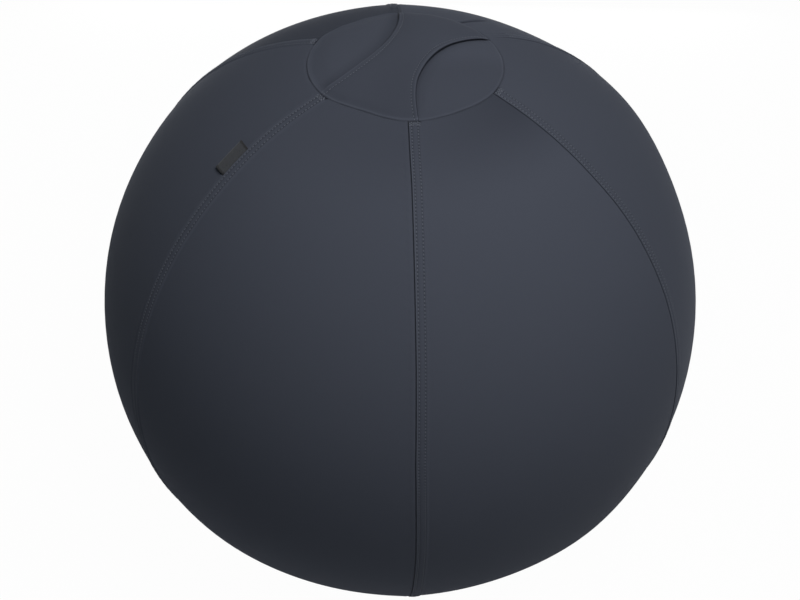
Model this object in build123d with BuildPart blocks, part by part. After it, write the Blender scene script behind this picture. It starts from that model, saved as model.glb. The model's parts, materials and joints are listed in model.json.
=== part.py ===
from build123d import *
import os
from math import asin, cos, degrees, radians, sin, sqrt

os.makedirs("parts", exist_ok=True)

# Sitting ball: an inflated ball in a sewn cloth cover with a carry handle on its crown.
# Millimetres. The origin is on the floor under the ball, +Z is up and the handle runs along Y.

# Cover
BALL_DIAMETER = 650.0  # across two opposite seams
GORE_COUNT = 6
GORE_RECESS = 2.5  # the middle of a gore lies this far inside its seams
CLOTH = 1.6  # thickness of the cover cloth
CLEARANCE = 0.3  # between layers that lie on each other
SEAM_GAP = 0.2  # between two sewn edges
FELL_WIDTH = 11.5  # the folded band beside each seam
FELL_HEIGHT = 0.8  # how far that band stands proud
CROWN_DIAMETER = 196.0
BASE_DIAMETER = 196.0
FLOOR_PATCH = 120.0  # the flat that the ball stands on

# Carry handle
HANDLE_WAIST = 53.0  # width at the middle
HANDLE_END = 104.0  # width where it meets the crown seam
HANDLE_THICKNESS = 2.0
HANDLE_GAP = 8.0  # finger room over the crown
GRIP_LENGTH = 90.0  # the middle that lifts

# Woven tab in a front seam
LABEL_SEAM = 5  # the seam after this gore, counted from the front
LABEL_POLAR = 36.5  # degrees down from the top of the ball
LABEL_LENGTH = 35.0
LABEL_WIDTH = 18.0
LABEL_THICKNESS = 1.0

# Zip in a rear seam
ZIP_SEAM = 3
ZIP_POLAR = 100.0  # middle of the zip, degrees down from the top of the ball
ZIP_LENGTH = 300.0  # from the top stops to the bottom stop
TAPE_THICKNESS = 0.5
TAPE_WIDTH = 11.0
TAPE_TAIL = 8.0  # tape past each stop
CORD_GAP = 1.1  # from the middle of the zip to each cord
CORD_WIDTH = 2.0
CORD_HEIGHT = 2.0
TOOTH_PITCH = 3.0
TOOTH_LENGTH = 1.2
TOOTH_HEIGHT = 1.4
TOOTH_REACH = 0.9  # how far a tooth passes the middle of the zip
TOOTH_ROOT = 0.6  # how deep a tooth is set in its cord
TOP_STOP_LENGTH = 2.5
BOTTOM_STOP_LENGTH = 4.0
STOP_RISE = 0.4  # a stop stands this far above the cords
SLIDER_LENGTH = 12.0
SLIDER_PLATE = 1.1
SLIDER_FLANGE = 0.9
SLIDER_TAPER = 0.7  # the slider's tail is this much narrower on each side
SLIDER_ROUND = 1.2
POST_WIDTH = 1.4  # the post that parts the teeth
POST_LENGTH = 2.6
BRIDGE_LENGTH = 6.4
BRIDGE_WIDTH = 2.2
BRIDGE_WALL = 0.9
BAR_DIAMETER = 1.4  # the pull's end bar, which turns under the bridge
PULL_LENGTH = 27.0
PULL_WIDTH = 7.0
PULL_TAIL_WIDTH = 5.4
PULL_THICKNESS = 1.2
PULL_ROUND = 1.5
PULL_HOLE = 2.6
SLOT_ROOM = 0.5  # between the slider and the cloth on each side

# Inner ball, valve and ballast
BALL_WALL = 1.2
VALVE_POLAR = 108.0
SEAT_DIAMETER = 29.0
SEAT_FLANGE_DIAMETER = 40.0
SEAT_FLANGE = 1.6
SEAT_NECK = 9.0  # length of the valve's inner neck
SEAT_NECK_DIAMETER = 16.0
PLUG_DIAMETER = 9.4
PLUG_FIT = 0.1  # between the plug and its bore
PLUG_HEAD_DIAMETER = 16.0
PLUG_HEAD = 1.2
PLUG_LENGTH = 19.0
PLUG_TIP_DIAMETER = 7.0
PLUG_RIB = 1.5  # height of each sealing rib
POUCH_DIAMETER = 170.0
POUCH_HEIGHT = 12.0
POUCH_CLOTH = 0.8

# Worked out from the sizes above
STEP = 360.0 / GORE_COUNT
HALF = STEP / 2
FRONT = -90.0  # the first gore's middle, as an angle from +X
SEAM_RADIUS = BALL_DIAMETER / 2
MID_RADIUS = SEAM_RADIUS - GORE_RECESS
CROWN_RADIUS = CROWN_DIAMETER / 2
BASE_RADIUS = BASE_DIAMETER / 2
CENTRE_Z = sqrt(MID_RADIUS**2 - (FLOOR_PATCH / 2) ** 2)
CENTRE = Vector(0, 0, CENTRE_Z)
UP = Vector(0, 0, 1)
AXIS = Axis(CENTRE, UP)
MERIDIAN = Plane(origin=CENTRE, x_dir=(1, 0, 0), z_dir=(0, -1, 0))

# A gore's middle arc turns about an upright axis that is set back behind the ball's own axis,
# by just enough to bring its edges out to the seam radius.
SET_BACK = (SEAM_RADIUS**2 - MID_RADIUS**2) / (2 * (MID_RADIUS - SEAM_RADIUS * cos(radians(HALF))))
SPARE = 3.0  # degrees of extra wall that the seam planes and rings then trim
SWEEP = degrees(asin(SEAM_RADIUS * sin(radians(HALF)) / (MID_RADIUS + SET_BACK))) + SPARE
GORE_TOP = degrees(asin(CROWN_RADIUS / MID_RADIUS)) - SPARE
GORE_BOTTOM = 180 - degrees(asin(BASE_RADIUS / MID_RADIUS)) + SPARE

# Layers of the zip, as radii from the ball's centre, from the inner ball outwards
BALL_RADIUS = MID_RADIUS - CLOTH - CLEARANCE
LOWER_PLATE = BALL_RADIUS + CLEARANCE
TAPE_RADIUS = LOWER_PLATE + SLIDER_PLATE + CLEARANCE
TAPE_TOP = TAPE_RADIUS + TAPE_THICKNESS
CORD_TOP = TAPE_TOP + CORD_HEIGHT
UPPER_PLATE = CORD_TOP + CLEARANCE
PLATE_TOP = UPPER_PLATE + SLIDER_PLATE
BAR_RADIUS = PLATE_TOP + CLEARANCE + BAR_DIAMETER / 2
SLIDER_HALF = CORD_GAP + CORD_WIDTH + CLEARANCE + SLIDER_FLANGE
SLOT_HALF = SLIDER_HALF + SLOT_ROOM
TAPE_HALF = CORD_GAP + TAPE_WIDTH

# Stations along the zip, as degrees down from the top of the ball
DEGREE = radians(1) * CORD_TOP  # length of one degree along the zip
ZIP_TOP = ZIP_POLAR - ZIP_LENGTH / 2 / DEGREE
ZIP_BOTTOM = ZIP_POLAR + ZIP_LENGTH / 2 / DEGREE
SLIDER_POLAR = ZIP_TOP + (TOP_STOP_LENGTH + CLEARANCE + SLIDER_LENGTH / 2) / DEGREE
TEETH_TOP = SLIDER_POLAR - (SLIDER_LENGTH / 2 - 2 * POST_LENGTH) / DEGREE
CORD_START = ZIP_TOP + TOP_STOP_LENGTH / DEGREE
CORD_END = ZIP_BOTTOM - BOTTOM_STOP_LENGTH / DEGREE
TAPE_START = ZIP_TOP - TAPE_TAIL / DEGREE
TAPE_END = ZIP_BOTTOM + TAPE_TAIL / DEGREE
SLOT_START = ZIP_TOP - SLOT_ROOM / DEGREE
SLOT_END = ZIP_BOTTOM + SLOT_ROOM / DEGREE


def level(angle):
    """The level direction at an angle from +X."""
    return Vector(cos(radians(angle)), sin(radians(angle)), 0)


def seam_angle(seam):
    """The angle of the seam after a gore."""
    return FRONT + (seam + 0.5) * STEP


def outward(angle, polar):
    """The direction from the ball's centre to a place on it."""
    return level(angle) * sin(radians(polar)) + UP * cos(radians(polar))


def upright(origin, angle):
    """A plane whose x points outwards at an angle and whose y points up."""
    return Plane(origin=origin, x_dir=level(angle), z_dir=level(angle).cross(UP))


def ring_sector(inner, outer, top, bottom):
    """Draws the part of a ring between two polar angles."""
    with BuildLine() as outline:
        rim = CenterArc((0, 0), outer, 90 - bottom, bottom - top)
        bore = CenterArc((0, 0), inner, 90 - bottom, bottom - top)
        Line(rim @ 0, bore @ 0)
        Line(rim @ 1, bore @ 1)
    make_face(outline.edges())


def finish(builder, name):
    """Names a finished piece and writes it."""
    builder.part.label = name
    export_step(builder.part, f"parts/{name}.step")


def gore_wall(angle, inner, outer):
    """A wall with a gore's curve, a little larger than the gore on every side."""
    pivot = CENTRE - level(angle) * SET_BACK
    start = angle - SWEEP
    with BuildPart() as wall:
        with BuildSketch(upright(pivot + level(start) * SET_BACK, start)):
            ring_sector(inner, outer, GORE_TOP, GORE_BOTTOM)
        revolve(axis=Axis(pivot, UP), revolution_arc=2 * SWEEP)
    return wall.part


def beside_seam(angle, side, distance):
    """A plane along a seam, at a distance from it, facing to one side."""
    across = UP.cross(level(angle)) * side
    return Plane(origin=CENTRE + across * distance, x_dir=level(angle), z_dir=across)


ZIP_ANGLE = seam_angle(ZIP_SEAM)
ZIP_PLANE = upright(CENTRE, ZIP_ANGLE)


# Gores, each with the folded band of its seam on its first edge
for index in range(GORE_COUNT):
    middle = FRONT + index * STEP
    first_edge = middle - HALF
    last_edge = middle + HALF
    with BuildPart() as fell:
        add(gore_wall(middle, MID_RADIUS - CLOTH / 2, MID_RADIUS + FELL_HEIGHT))
        split(bisect_by=beside_seam(first_edge, 1, SEAM_GAP / 2), keep=Keep.TOP)
        split(bisect_by=beside_seam(first_edge, 1, FELL_WIDTH), keep=Keep.BOTTOM)
    with BuildPart() as gore:
        add(gore_wall(middle, MID_RADIUS - CLOTH, MID_RADIUS))
        split(bisect_by=beside_seam(first_edge, 1, SEAM_GAP / 2), keep=Keep.TOP)
        split(bisect_by=beside_seam(last_edge, -1, SEAM_GAP / 2), keep=Keep.TOP)
        add(fell.part)
        with Locations(CENTRE):
            Cylinder(
                CROWN_RADIUS + SEAM_GAP / 2,
                BALL_DIAMETER,
                align=(Align.CENTER, Align.CENTER, Align.MIN),
                mode=Mode.SUBTRACT,
            )
            Cylinder(
                BASE_RADIUS + SEAM_GAP / 2,
                BALL_DIAMETER,
                align=(Align.CENTER, Align.CENTER, Align.MAX),
                mode=Mode.SUBTRACT,
            )
        if index in (ZIP_SEAM, ZIP_SEAM + 1):
            with BuildSketch(ZIP_PLANE):
                ring_sector(BALL_RADIUS, BALL_DIAMETER, SLOT_START, SLOT_END)
            extrude(amount=SLOT_HALF, both=True, mode=Mode.SUBTRACT)
            with BuildSketch(ZIP_PLANE):
                ring_sector(
                    BALL_RADIUS,
                    TAPE_TOP + CLEARANCE,
                    TAPE_START - CLEARANCE / DEGREE,
                    TAPE_END + CLEARANCE / DEGREE,
                )
            extrude(amount=TAPE_HALF + CLEARANCE, both=True, mode=Mode.SUBTRACT)
    finish(gore, f"gore_panel_{index + 1}")


# Crown panel
with BuildPart() as crown_panel:
    with BuildSketch(MERIDIAN):
        Circle(MID_RADIUS)
        Circle(MID_RADIUS - CLOTH, mode=Mode.SUBTRACT)
        Rectangle(
            CROWN_RADIUS - SEAM_GAP / 2,
            BALL_DIAMETER,
            align=(Align.MIN, Align.MIN),
            mode=Mode.INTERSECT,
        )
    revolve(axis=AXIS)
finish(crown_panel, "crown_panel")


# Base panel, flat where the ball stands
with BuildPart() as base_panel:
    with BuildSketch(MERIDIAN):
        Circle(MID_RADIUS)
        Rectangle(
            BASE_RADIUS - SEAM_GAP / 2,
            CENTRE_Z,
            align=(Align.MIN, Align.MAX),
            mode=Mode.INTERSECT,
        )
    revolve(axis=AXIS)
    with BuildSketch(MERIDIAN):
        Circle(MID_RADIUS - CLOTH)
        Rectangle(
            BASE_RADIUS,
            CENTRE_Z - CLOTH,
            align=(Align.MIN, Align.MAX),
            mode=Mode.INTERSECT,
        )
    revolve(axis=AXIS, mode=Mode.SUBTRACT)
finish(base_panel, "base_panel")


# Carry handle: an hourglass cut from a shallow dome that leaves finger room over the crown
RING_RADIUS = CROWN_RADIUS - SEAM_GAP / 2
DOME_FOOT = sqrt((MID_RADIUS + CLEARANCE) ** 2 - RING_RADIUS**2)
DOME_TOP = MID_RADIUS + HANDLE_GAP
DOME_RISE = DOME_TOP - DOME_FOOT
DOME_RADIUS = (RING_RADIUS**2 + DOME_RISE**2) / (2 * DOME_RISE)
HANDLE_CORNER = sqrt(CROWN_RADIUS**2 - (HANDLE_END / 2) ** 2)


def handle_piece(name, start, end):
    """The stretch of the handle between two places along Y."""
    with BuildPart() as piece:
        with BuildSketch(MERIDIAN):
            with Locations((0, DOME_TOP - DOME_RADIUS)):
                Circle(DOME_RADIUS + HANDLE_THICKNESS)
                Circle(DOME_RADIUS, mode=Mode.SUBTRACT)
            Rectangle(RING_RADIUS, BALL_DIAMETER, align=(Align.MIN, Align.MIN), mode=Mode.INTERSECT)
        revolve(axis=AXIS)
        with BuildSketch(Plane(CENTRE)):
            with BuildLine():
                right = ThreePointArc(
                    (HANDLE_END / 2, -HANDLE_CORNER),
                    (HANDLE_WAIST / 2, 0),
                    (HANDLE_END / 2, HANDLE_CORNER),
                )
                Polyline(
                    right @ 1,
                    (HANDLE_END / 2, CROWN_RADIUS),
                    (-HANDLE_END / 2, CROWN_RADIUS),
                    (-HANDLE_END / 2, HANDLE_CORNER),
                )
                left = ThreePointArc(
                    (-HANDLE_END / 2, HANDLE_CORNER),
                    (-HANDLE_WAIST / 2, 0),
                    (-HANDLE_END / 2, -HANDLE_CORNER),
                )
                Polyline(
                    left @ 1,
                    (-HANDLE_END / 2, -CROWN_RADIUS),
                    (HANDLE_END / 2, -CROWN_RADIUS),
                    right @ 0,
                )
            make_face()
            with Locations((0, start)):
                Rectangle(CROWN_DIAMETER, end - start, align=(Align.CENTER, Align.MIN), mode=Mode.INTERSECT)
        extrude(amount=BALL_DIAMETER, mode=Mode.INTERSECT)
    finish(piece, name)


handle_piece("handle_front_flare", -CROWN_RADIUS, -GRIP_LENGTH / 2)
handle_piece("handle_grip", -GRIP_LENGTH / 2, GRIP_LENGTH / 2)
handle_piece("handle_rear_flare", GRIP_LENGTH / 2, CROWN_RADIUS)


# Woven tab, caught in a front seam and lying on the gore beside it
LABEL_ANGLE = seam_angle(LABEL_SEAM)
LABEL_OUT = outward(LABEL_ANGLE, LABEL_POLAR)
LABEL_ACROSS = level(LABEL_ANGLE).cross(UP)
LABEL_MIDDLE = CENTRE + LABEL_OUT * MID_RADIUS + LABEL_ACROSS * (SEAM_GAP + LABEL_WIDTH) / 2
with BuildPart() as side_label:
    add(
        gore_wall(
            FRONT + LABEL_SEAM * STEP,
            MID_RADIUS + CLEARANCE,
            MID_RADIUS + CLEARANCE + LABEL_THICKNESS,
        )
    )
    with BuildSketch(Plane(origin=LABEL_MIDDLE, x_dir=LABEL_ACROSS, z_dir=LABEL_OUT)):
        Rectangle(LABEL_WIDTH, LABEL_LENGTH)
    extrude(amount=LABEL_WIDTH, both=True, mode=Mode.INTERSECT)
finish(side_label, "side_label")


# Zip tapes and toothed cords, left and right of the seam
TEETH_SPAN = CORD_END - TEETH_TOP - TOOTH_PITCH / DEGREE
TOOTH_COUNT = int(TEETH_SPAN * DEGREE / TOOTH_PITCH)
for side, name in ((-1, "left"), (1, "right")):
    with BuildPart() as tape:
        with BuildSketch(ZIP_PLANE.offset(side * CORD_GAP)):
            ring_sector(TAPE_RADIUS, TAPE_TOP, TAPE_START, TAPE_END)
        extrude(amount=side * TAPE_WIDTH)
    finish(tape, f"zip_tape_{name}")

    first_tooth = TEETH_TOP + TOOTH_PITCH * (0.75 + 0.25 * side) / DEGREE
    teeth_turn = (TOOTH_COUNT - 1) * TOOTH_PITCH / DEGREE
    with BuildPart() as cord:
        with BuildSketch(ZIP_PLANE.offset(side * CORD_GAP)):
            ring_sector(TAPE_TOP, CORD_TOP, CORD_START, CORD_END)
        extrude(amount=side * CORD_WIDTH)
        with BuildSketch(ZIP_PLANE.offset(side * (CORD_GAP + TOOTH_ROOT))):
            with PolarLocations(
                (TAPE_TOP + CORD_TOP) / 2,
                TOOTH_COUNT,
                start_angle=90 - first_tooth - teeth_turn,
                angular_range=teeth_turn,
                endpoint=True,
            ):
                Rectangle(TOOTH_HEIGHT, TOOTH_LENGTH)
        extrude(amount=-side * (CORD_GAP + TOOTH_ROOT + TOOTH_REACH))
    finish(cord, f"zip_coil_{name}")


# Stops at the two ends of the zip
with BuildPart() as zip_top_stops:
    for side in (-1, 1):
        with BuildSketch(ZIP_PLANE.offset(side * CORD_GAP)):
            ring_sector(TAPE_TOP, CORD_TOP + STOP_RISE, ZIP_TOP, CORD_START)
        extrude(amount=side * CORD_WIDTH)
finish(zip_top_stops, "zip_top_stops")

with BuildPart() as zip_bottom_stop:
    with BuildSketch(ZIP_PLANE):
        ring_sector(TAPE_TOP, CORD_TOP + STOP_RISE, CORD_END, ZIP_BOTTOM)
    extrude(amount=CORD_GAP + CORD_WIDTH, both=True)
finish(zip_bottom_stop, "zip_bottom_stop")


# Slider: two plates round the cords, joined by the post that parts the teeth, with a bridge on top.
# Its planes have x down along the zip and z outwards.
SLIDER_OUT = outward(ZIP_ANGLE, SLIDER_POLAR)
SLIDER_DOWN = outward(ZIP_ANGLE, SLIDER_POLAR + 90)


def slider_plane(radius):
    """The plane square to the slider's outward direction, at a distance from the ball's centre."""
    return Plane(origin=CENTRE + SLIDER_OUT * radius, x_dir=SLIDER_DOWN, z_dir=SLIDER_OUT)


SLIDER_SIDE = Plane(
    origin=CENTRE + SLIDER_OUT * PLATE_TOP, x_dir=SLIDER_DOWN, z_dir=SLIDER_DOWN.cross(SLIDER_OUT)
)


def slider_outline():
    """Draws a slider plate: blunt at the nose, widest at the shoulders, narrower at the tail."""
    nose = -SLIDER_LENGTH / 2
    shoulder = -SLIDER_LENGTH / 4
    tail = SLIDER_LENGTH / 2
    with BuildLine() as outline:
        Polyline(
            (nose, SLIDER_HALF - SLIDER_ROUND),
            (shoulder, SLIDER_HALF),
            (tail, SLIDER_HALF - SLIDER_TAPER),
            (tail, -SLIDER_HALF + SLIDER_TAPER),
            (shoulder, -SLIDER_HALF),
            (nose, -SLIDER_HALF + SLIDER_ROUND),
            close=True,
        )
    make_face(outline.edges())


with BuildPart() as zip_slider:
    with BuildSketch(slider_plane(LOWER_PLATE)):
        slider_outline()
    extrude(amount=SLIDER_PLATE)
    with BuildSketch(slider_plane(TAPE_TOP + CLEARANCE)):
        slider_outline()
    extrude(amount=PLATE_TOP - TAPE_TOP - CLEARANCE)
    with BuildSketch(slider_plane(LOWER_PLATE + SLIDER_PLATE)):
        Rectangle(SLIDER_LENGTH * 2, 2 * (CORD_GAP + CORD_WIDTH + CLEARANCE))
    extrude(amount=UPPER_PLATE - LOWER_PLATE - SLIDER_PLATE, mode=Mode.SUBTRACT)
    with BuildSketch(slider_plane(LOWER_PLATE + SLIDER_PLATE)):
        with Locations((-SLIDER_LENGTH / 2 + POST_LENGTH, 0)):
            Ellipse(POST_LENGTH / 2, POST_WIDTH / 2)
    extrude(amount=UPPER_PLATE - LOWER_PLATE - SLIDER_PLATE)
    with BuildSketch(SLIDER_SIDE):
        Rectangle(
            BRIDGE_LENGTH,
            BAR_DIAMETER + 2 * CLEARANCE + BRIDGE_WALL,
            align=(Align.CENTER, Align.MIN),
        )
        fillet(vertices().group_by(Axis.Y)[-1], SLIDER_ROUND)
        Rectangle(
            BRIDGE_LENGTH - 2 * BRIDGE_WALL,
            BAR_DIAMETER + 2 * CLEARANCE,
            align=(Align.CENTER, Align.MIN),
            mode=Mode.SUBTRACT,
        )
    extrude(amount=BRIDGE_WIDTH / 2, both=True)
finish(zip_slider, "zip_slider")


# Pull, hanging down from its bar under the bridge
PULL_WINDOW = BRIDGE_LENGTH / 2 + BAR_DIAMETER + CLEARANCE
with BuildPart() as zip_pull:
    with BuildSketch(slider_plane(BAR_RADIUS)):
        with BuildLine():
            Polyline(
                (0, PULL_WIDTH / 2),
                (PULL_LENGTH, PULL_TAIL_WIDTH / 2),
                (PULL_LENGTH, -PULL_TAIL_WIDTH / 2),
                (0, -PULL_WIDTH / 2),
                close=True,
            )
        make_face()
        fillet(vertices().filter_by_position(Axis.X, 1, BALL_DIAMETER), PULL_ROUND)
    extrude(amount=PULL_THICKNESS / 2, both=True)
    with BuildSketch(slider_plane(BAR_RADIUS)):
        Rectangle(
            PULL_WINDOW,
            BRIDGE_WIDTH + 2 * CLEARANCE,
            align=(Align.MIN, Align.CENTER),
        )
        with Locations((PULL_LENGTH - PULL_HOLE - PULL_ROUND, 0)):
            Circle(PULL_HOLE / 2)
    extrude(amount=BAR_DIAMETER, both=True, mode=Mode.SUBTRACT)
    with BuildSketch(Plane(CENTRE + SLIDER_OUT * BAR_RADIUS, x_dir=SLIDER_DOWN, z_dir=SLIDER_SIDE.z_dir)):
        Circle(BAR_DIAMETER / 2)
    extrude(amount=PULL_WIDTH / 2, both=True)
finish(zip_pull, "zip_pull")


# Inner ball, pressed flat by the ballast under it
POUCH_BASE = CLOTH + CLEARANCE
BALL_BASE = POUCH_BASE + POUCH_HEIGHT + CLEARANCE
VALVE_OUT = outward(ZIP_ANGLE, VALVE_POLAR)
VALVE_DOWN = outward(ZIP_ANGLE, VALVE_POLAR + 90)
VALVE_AXIS = Axis(CENTRE, VALVE_OUT)
VALVE_SIDE = Plane(origin=CENTRE, x_dir=VALVE_DOWN, z_dir=VALVE_DOWN.cross(VALVE_OUT))


def valve_plane(radius):
    """The plane square to the valve, at a distance from the ball's centre."""
    return Plane(origin=CENTRE + VALVE_OUT * radius, x_dir=VALVE_DOWN, z_dir=VALVE_OUT)


with BuildPart() as inner_ball:
    with BuildSketch(MERIDIAN):
        Circle(BALL_RADIUS)
        with Locations((0, BALL_BASE - CENTRE_Z)):
            Rectangle(BALL_DIAMETER, BALL_DIAMETER, align=(Align.MIN, Align.MIN), mode=Mode.INTERSECT)
    revolve(axis=AXIS)
    with BuildSketch(MERIDIAN):
        Circle(BALL_RADIUS - BALL_WALL)
        with Locations((0, BALL_BASE + BALL_WALL - CENTRE_Z)):
            Rectangle(BALL_DIAMETER, BALL_DIAMETER, align=(Align.MIN, Align.MIN), mode=Mode.INTERSECT)
    revolve(axis=AXIS, mode=Mode.SUBTRACT)
    with BuildSketch(valve_plane(BALL_RADIUS - SEAT_DIAMETER)):
        Circle(SEAT_DIAMETER / 2 + CLEARANCE)
    extrude(amount=2 * SEAT_DIAMETER, mode=Mode.SUBTRACT)
finish(inner_ball, "inner_ball")


# Valve seat, set in the ball's wall with its flange inside
FLANGE_TOP = BALL_RADIUS - BALL_WALL - CLEARANCE
with BuildPart() as valve_seat:
    with BuildSketch(VALVE_SIDE):
        ring_sector(FLANGE_TOP - SEAT_FLANGE, BALL_RADIUS, 0, degrees(asin(SEAT_DIAMETER / 2 / BALL_RADIUS)))
        ring_sector(
            FLANGE_TOP - SEAT_FLANGE,
            FLANGE_TOP,
            0,
            degrees(asin(SEAT_FLANGE_DIAMETER / 2 / FLANGE_TOP)),
        )
        with Locations((0, FLANGE_TOP)):
            Rectangle(SEAT_NECK_DIAMETER / 2, SEAT_NECK, align=(Align.MIN, Align.MAX))
    revolve(axis=VALVE_AXIS)
    with BuildSketch(valve_plane(BALL_RADIUS)):
        Circle(PLUG_HEAD_DIAMETER / 2 + CLEARANCE)
    extrude(amount=-PLUG_HEAD - CLEARANCE, mode=Mode.SUBTRACT)
    with BuildSketch(valve_plane(BALL_RADIUS)):
        Circle(PLUG_DIAMETER / 2 + PLUG_FIT)
    extrude(amount=-2 * SEAT_NECK - SEAT_FLANGE, mode=Mode.SUBTRACT)
finish(valve_seat, "valve_seat")


# Push-in plug with two sealing ribs on a tapered shank
PLUG_TOP = BALL_RADIUS - CLEARANCE / 2
SHANK_TOP = PLUG_TOP - PLUG_HEAD
NECK_END = FLANGE_TOP - SEAT_NECK
with BuildPart() as valve_plug:
    with BuildSketch(VALVE_SIDE):
        with BuildLine():
            Polyline(
                (0, PLUG_TOP),
                (PLUG_HEAD_DIAMETER / 2, PLUG_TOP),
                (PLUG_HEAD_DIAMETER / 2, SHANK_TOP),
                (PLUG_DIAMETER / 2, SHANK_TOP),
                (PLUG_DIAMETER / 2, SHANK_TOP - PLUG_RIB),
                (PLUG_TIP_DIAMETER / 2, SHANK_TOP - 2 * PLUG_RIB),
                (PLUG_TIP_DIAMETER / 2, NECK_END + 2 * PLUG_RIB),
                (PLUG_DIAMETER / 2, NECK_END + PLUG_RIB),
                (PLUG_DIAMETER / 2, NECK_END),
                (PLUG_TIP_DIAMETER / 2, PLUG_TOP - PLUG_LENGTH),
                (0, PLUG_TOP - PLUG_LENGTH),
                close=True,
            )
        make_face()
    revolve(axis=VALVE_AXIS)
finish(valve_plug, "valve_plug")


# Ballast: a lens-shaped pouch on the base panel, and the grain that fills it
def ballast_shape(inset):
    """Draws half of the pouch's section, this far inside its outer face."""
    Circle(BALL_RADIUS - inset)
    with Locations((0, POUCH_BASE + inset - CENTRE_Z)):
        Rectangle(
            POUCH_DIAMETER / 2 - inset,
            POUCH_HEIGHT - 2 * inset,
            align=(Align.MIN, Align.MIN),
            mode=Mode.INTERSECT,
        )


with BuildPart() as ballast_pouch:
    with BuildSketch(MERIDIAN):
        ballast_shape(0)
    revolve(axis=AXIS)
    with BuildSketch(MERIDIAN):
        ballast_shape(POUCH_CLOTH)
    revolve(axis=AXIS, mode=Mode.SUBTRACT)
finish(ballast_pouch, "ballast_pouch")

with BuildPart() as ballast_grain:
    with BuildSketch(MERIDIAN):
        ballast_shape(POUCH_CLOTH + CLEARANCE)
    revolve(axis=AXIS)
finish(ballast_grain, "ballast_grain")
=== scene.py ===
import json
from math import cos, pi, radians, sin, sqrt

import bmesh
import bpy
import numpy as np
from mathutils import Matrix, Vector


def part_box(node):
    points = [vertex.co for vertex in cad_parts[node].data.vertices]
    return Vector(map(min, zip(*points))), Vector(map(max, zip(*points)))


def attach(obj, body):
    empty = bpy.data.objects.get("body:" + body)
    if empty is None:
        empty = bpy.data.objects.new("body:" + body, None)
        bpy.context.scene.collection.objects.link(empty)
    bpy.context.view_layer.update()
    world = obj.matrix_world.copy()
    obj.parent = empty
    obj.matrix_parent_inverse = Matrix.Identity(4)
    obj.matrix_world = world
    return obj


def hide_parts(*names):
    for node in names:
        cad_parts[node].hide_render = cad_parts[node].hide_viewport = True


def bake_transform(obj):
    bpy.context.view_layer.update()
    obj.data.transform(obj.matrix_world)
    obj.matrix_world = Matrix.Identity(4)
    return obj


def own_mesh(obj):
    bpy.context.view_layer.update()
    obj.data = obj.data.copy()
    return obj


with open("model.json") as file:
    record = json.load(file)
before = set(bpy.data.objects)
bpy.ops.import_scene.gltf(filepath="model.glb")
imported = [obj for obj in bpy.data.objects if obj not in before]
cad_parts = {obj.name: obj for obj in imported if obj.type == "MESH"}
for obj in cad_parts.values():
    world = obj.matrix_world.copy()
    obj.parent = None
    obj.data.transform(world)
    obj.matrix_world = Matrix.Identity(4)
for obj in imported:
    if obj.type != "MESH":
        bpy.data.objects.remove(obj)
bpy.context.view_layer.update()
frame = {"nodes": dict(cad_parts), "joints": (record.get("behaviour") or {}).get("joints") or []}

# Sitting ball in a sewn cloth cover. Metres, +Z up, the handle along Y. MM turns millimetres into metres.
MM = 0.001


def joint(name):
    """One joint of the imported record."""
    return next(j for j in frame["joints"] if j["name"] == name)


# Taken from the frame
CENTRE = Vector(joint("zip_run")["pos_m"])
CROWN_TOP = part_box("crown_panel")[1]
MID_RADIUS = CROWN_TOP.z - CENTRE.z
RING = CROWN_TOP.x
BASE_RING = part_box("base_panel")[1].x
GRIP_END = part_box("handle_grip")[1].y
HANDLE_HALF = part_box("handle_front_flare")[1].x
HANDLE_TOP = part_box("handle_grip")[1].z - CENTRE.z - MID_RADIUS

# Cover: gores, their middles' azimuths and the shape between their seams
GORES = 6
STEP = 2 * pi / GORES
HALF = STEP / 2
FRONT = -pi / 2
SEAM_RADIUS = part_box("gore_panel_2")[1].x
SET_BACK = (SEAM_RADIUS**2 - MID_RADIUS**2) / (2 * (MID_RADIUS - SEAM_RADIUS * cos(HALF)))
# Its cloth, the felled band, its folded edge, the edge tucked under it, the stitches and the tuck at the rings
CLOTH = 1.5 * MM
FELL_WIDTH = 11.4 * MM
FELL_HEIGHT = 0.7 * MM
FOLD_ROUND = 1.0 * MM
FOLD_DEPTH = 2.0 * MM
TUCK_WIDTH = 1.7 * MM
TUCK_DEPTH = 1.3 * MM
STITCH_ROWS = (2.8 * MM, 8.8 * MM)
STITCH_PITCH = 3.6 * MM
RING_TUCK = 2.6 * MM
RING_DIP = 0.5 * MM
# One value for each seam or gore, from the one left of the front gore or the front gore itself, anticlockwise
# as seen from above. How far the cover stands out along each seam, and how open its folded edge lies, which
# also sets the painted shade in it
SEAM_RIDGES = np.array([1.8, 1.2, 1.8, 0.6, 0.0, 0.0]) * MM
SEAM_GAPS = np.array([0.7, 1.1, 0.42, 0.15, 0.9, 0.7])
# How far the sewing draws the crown's ring in, at the middle of each gore
RING_PULLS = np.array([4.5, 2.0, 0.0, 0.0, 5.5, 0.0]) * MM
# How open the crown's ring lies along each gore, which also sets the painted shade in it, and the painted shade
# on each gore's upper half
RING_GAPS = np.array([0.2, 0.25, 0.4, 0.3, 0.3, 1.3])
GORE_PAINTED_SHADES = np.array([0.0, 0.0, 0.07, 0.0, 0.36, 0.0])
# Polar angles over which that fades
GORE_PAINTED_SHADE_REACH = (radians(50), radians(80))
# Painted shade just below the ring, at the middle of each gore, how much of that
# is gained and lost towards its two sides, and the distances from the ring over which it fades
RING_SHADES = np.array([0.11, 0.24, 0.0, 0.0, 0.0, 0.04])
RING_SHADE_LEAN = 0.45
RING_SHADE_REACH = (20 * MM, 105 * MM)
# Limits of the fold shade, which runs from a painted highlight on folded edges and rims to painted shade deep
# in a fold
PALEST = -0.9
GORE_DARKEST = 0.95
CROWN_DARKEST = 0.9
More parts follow.
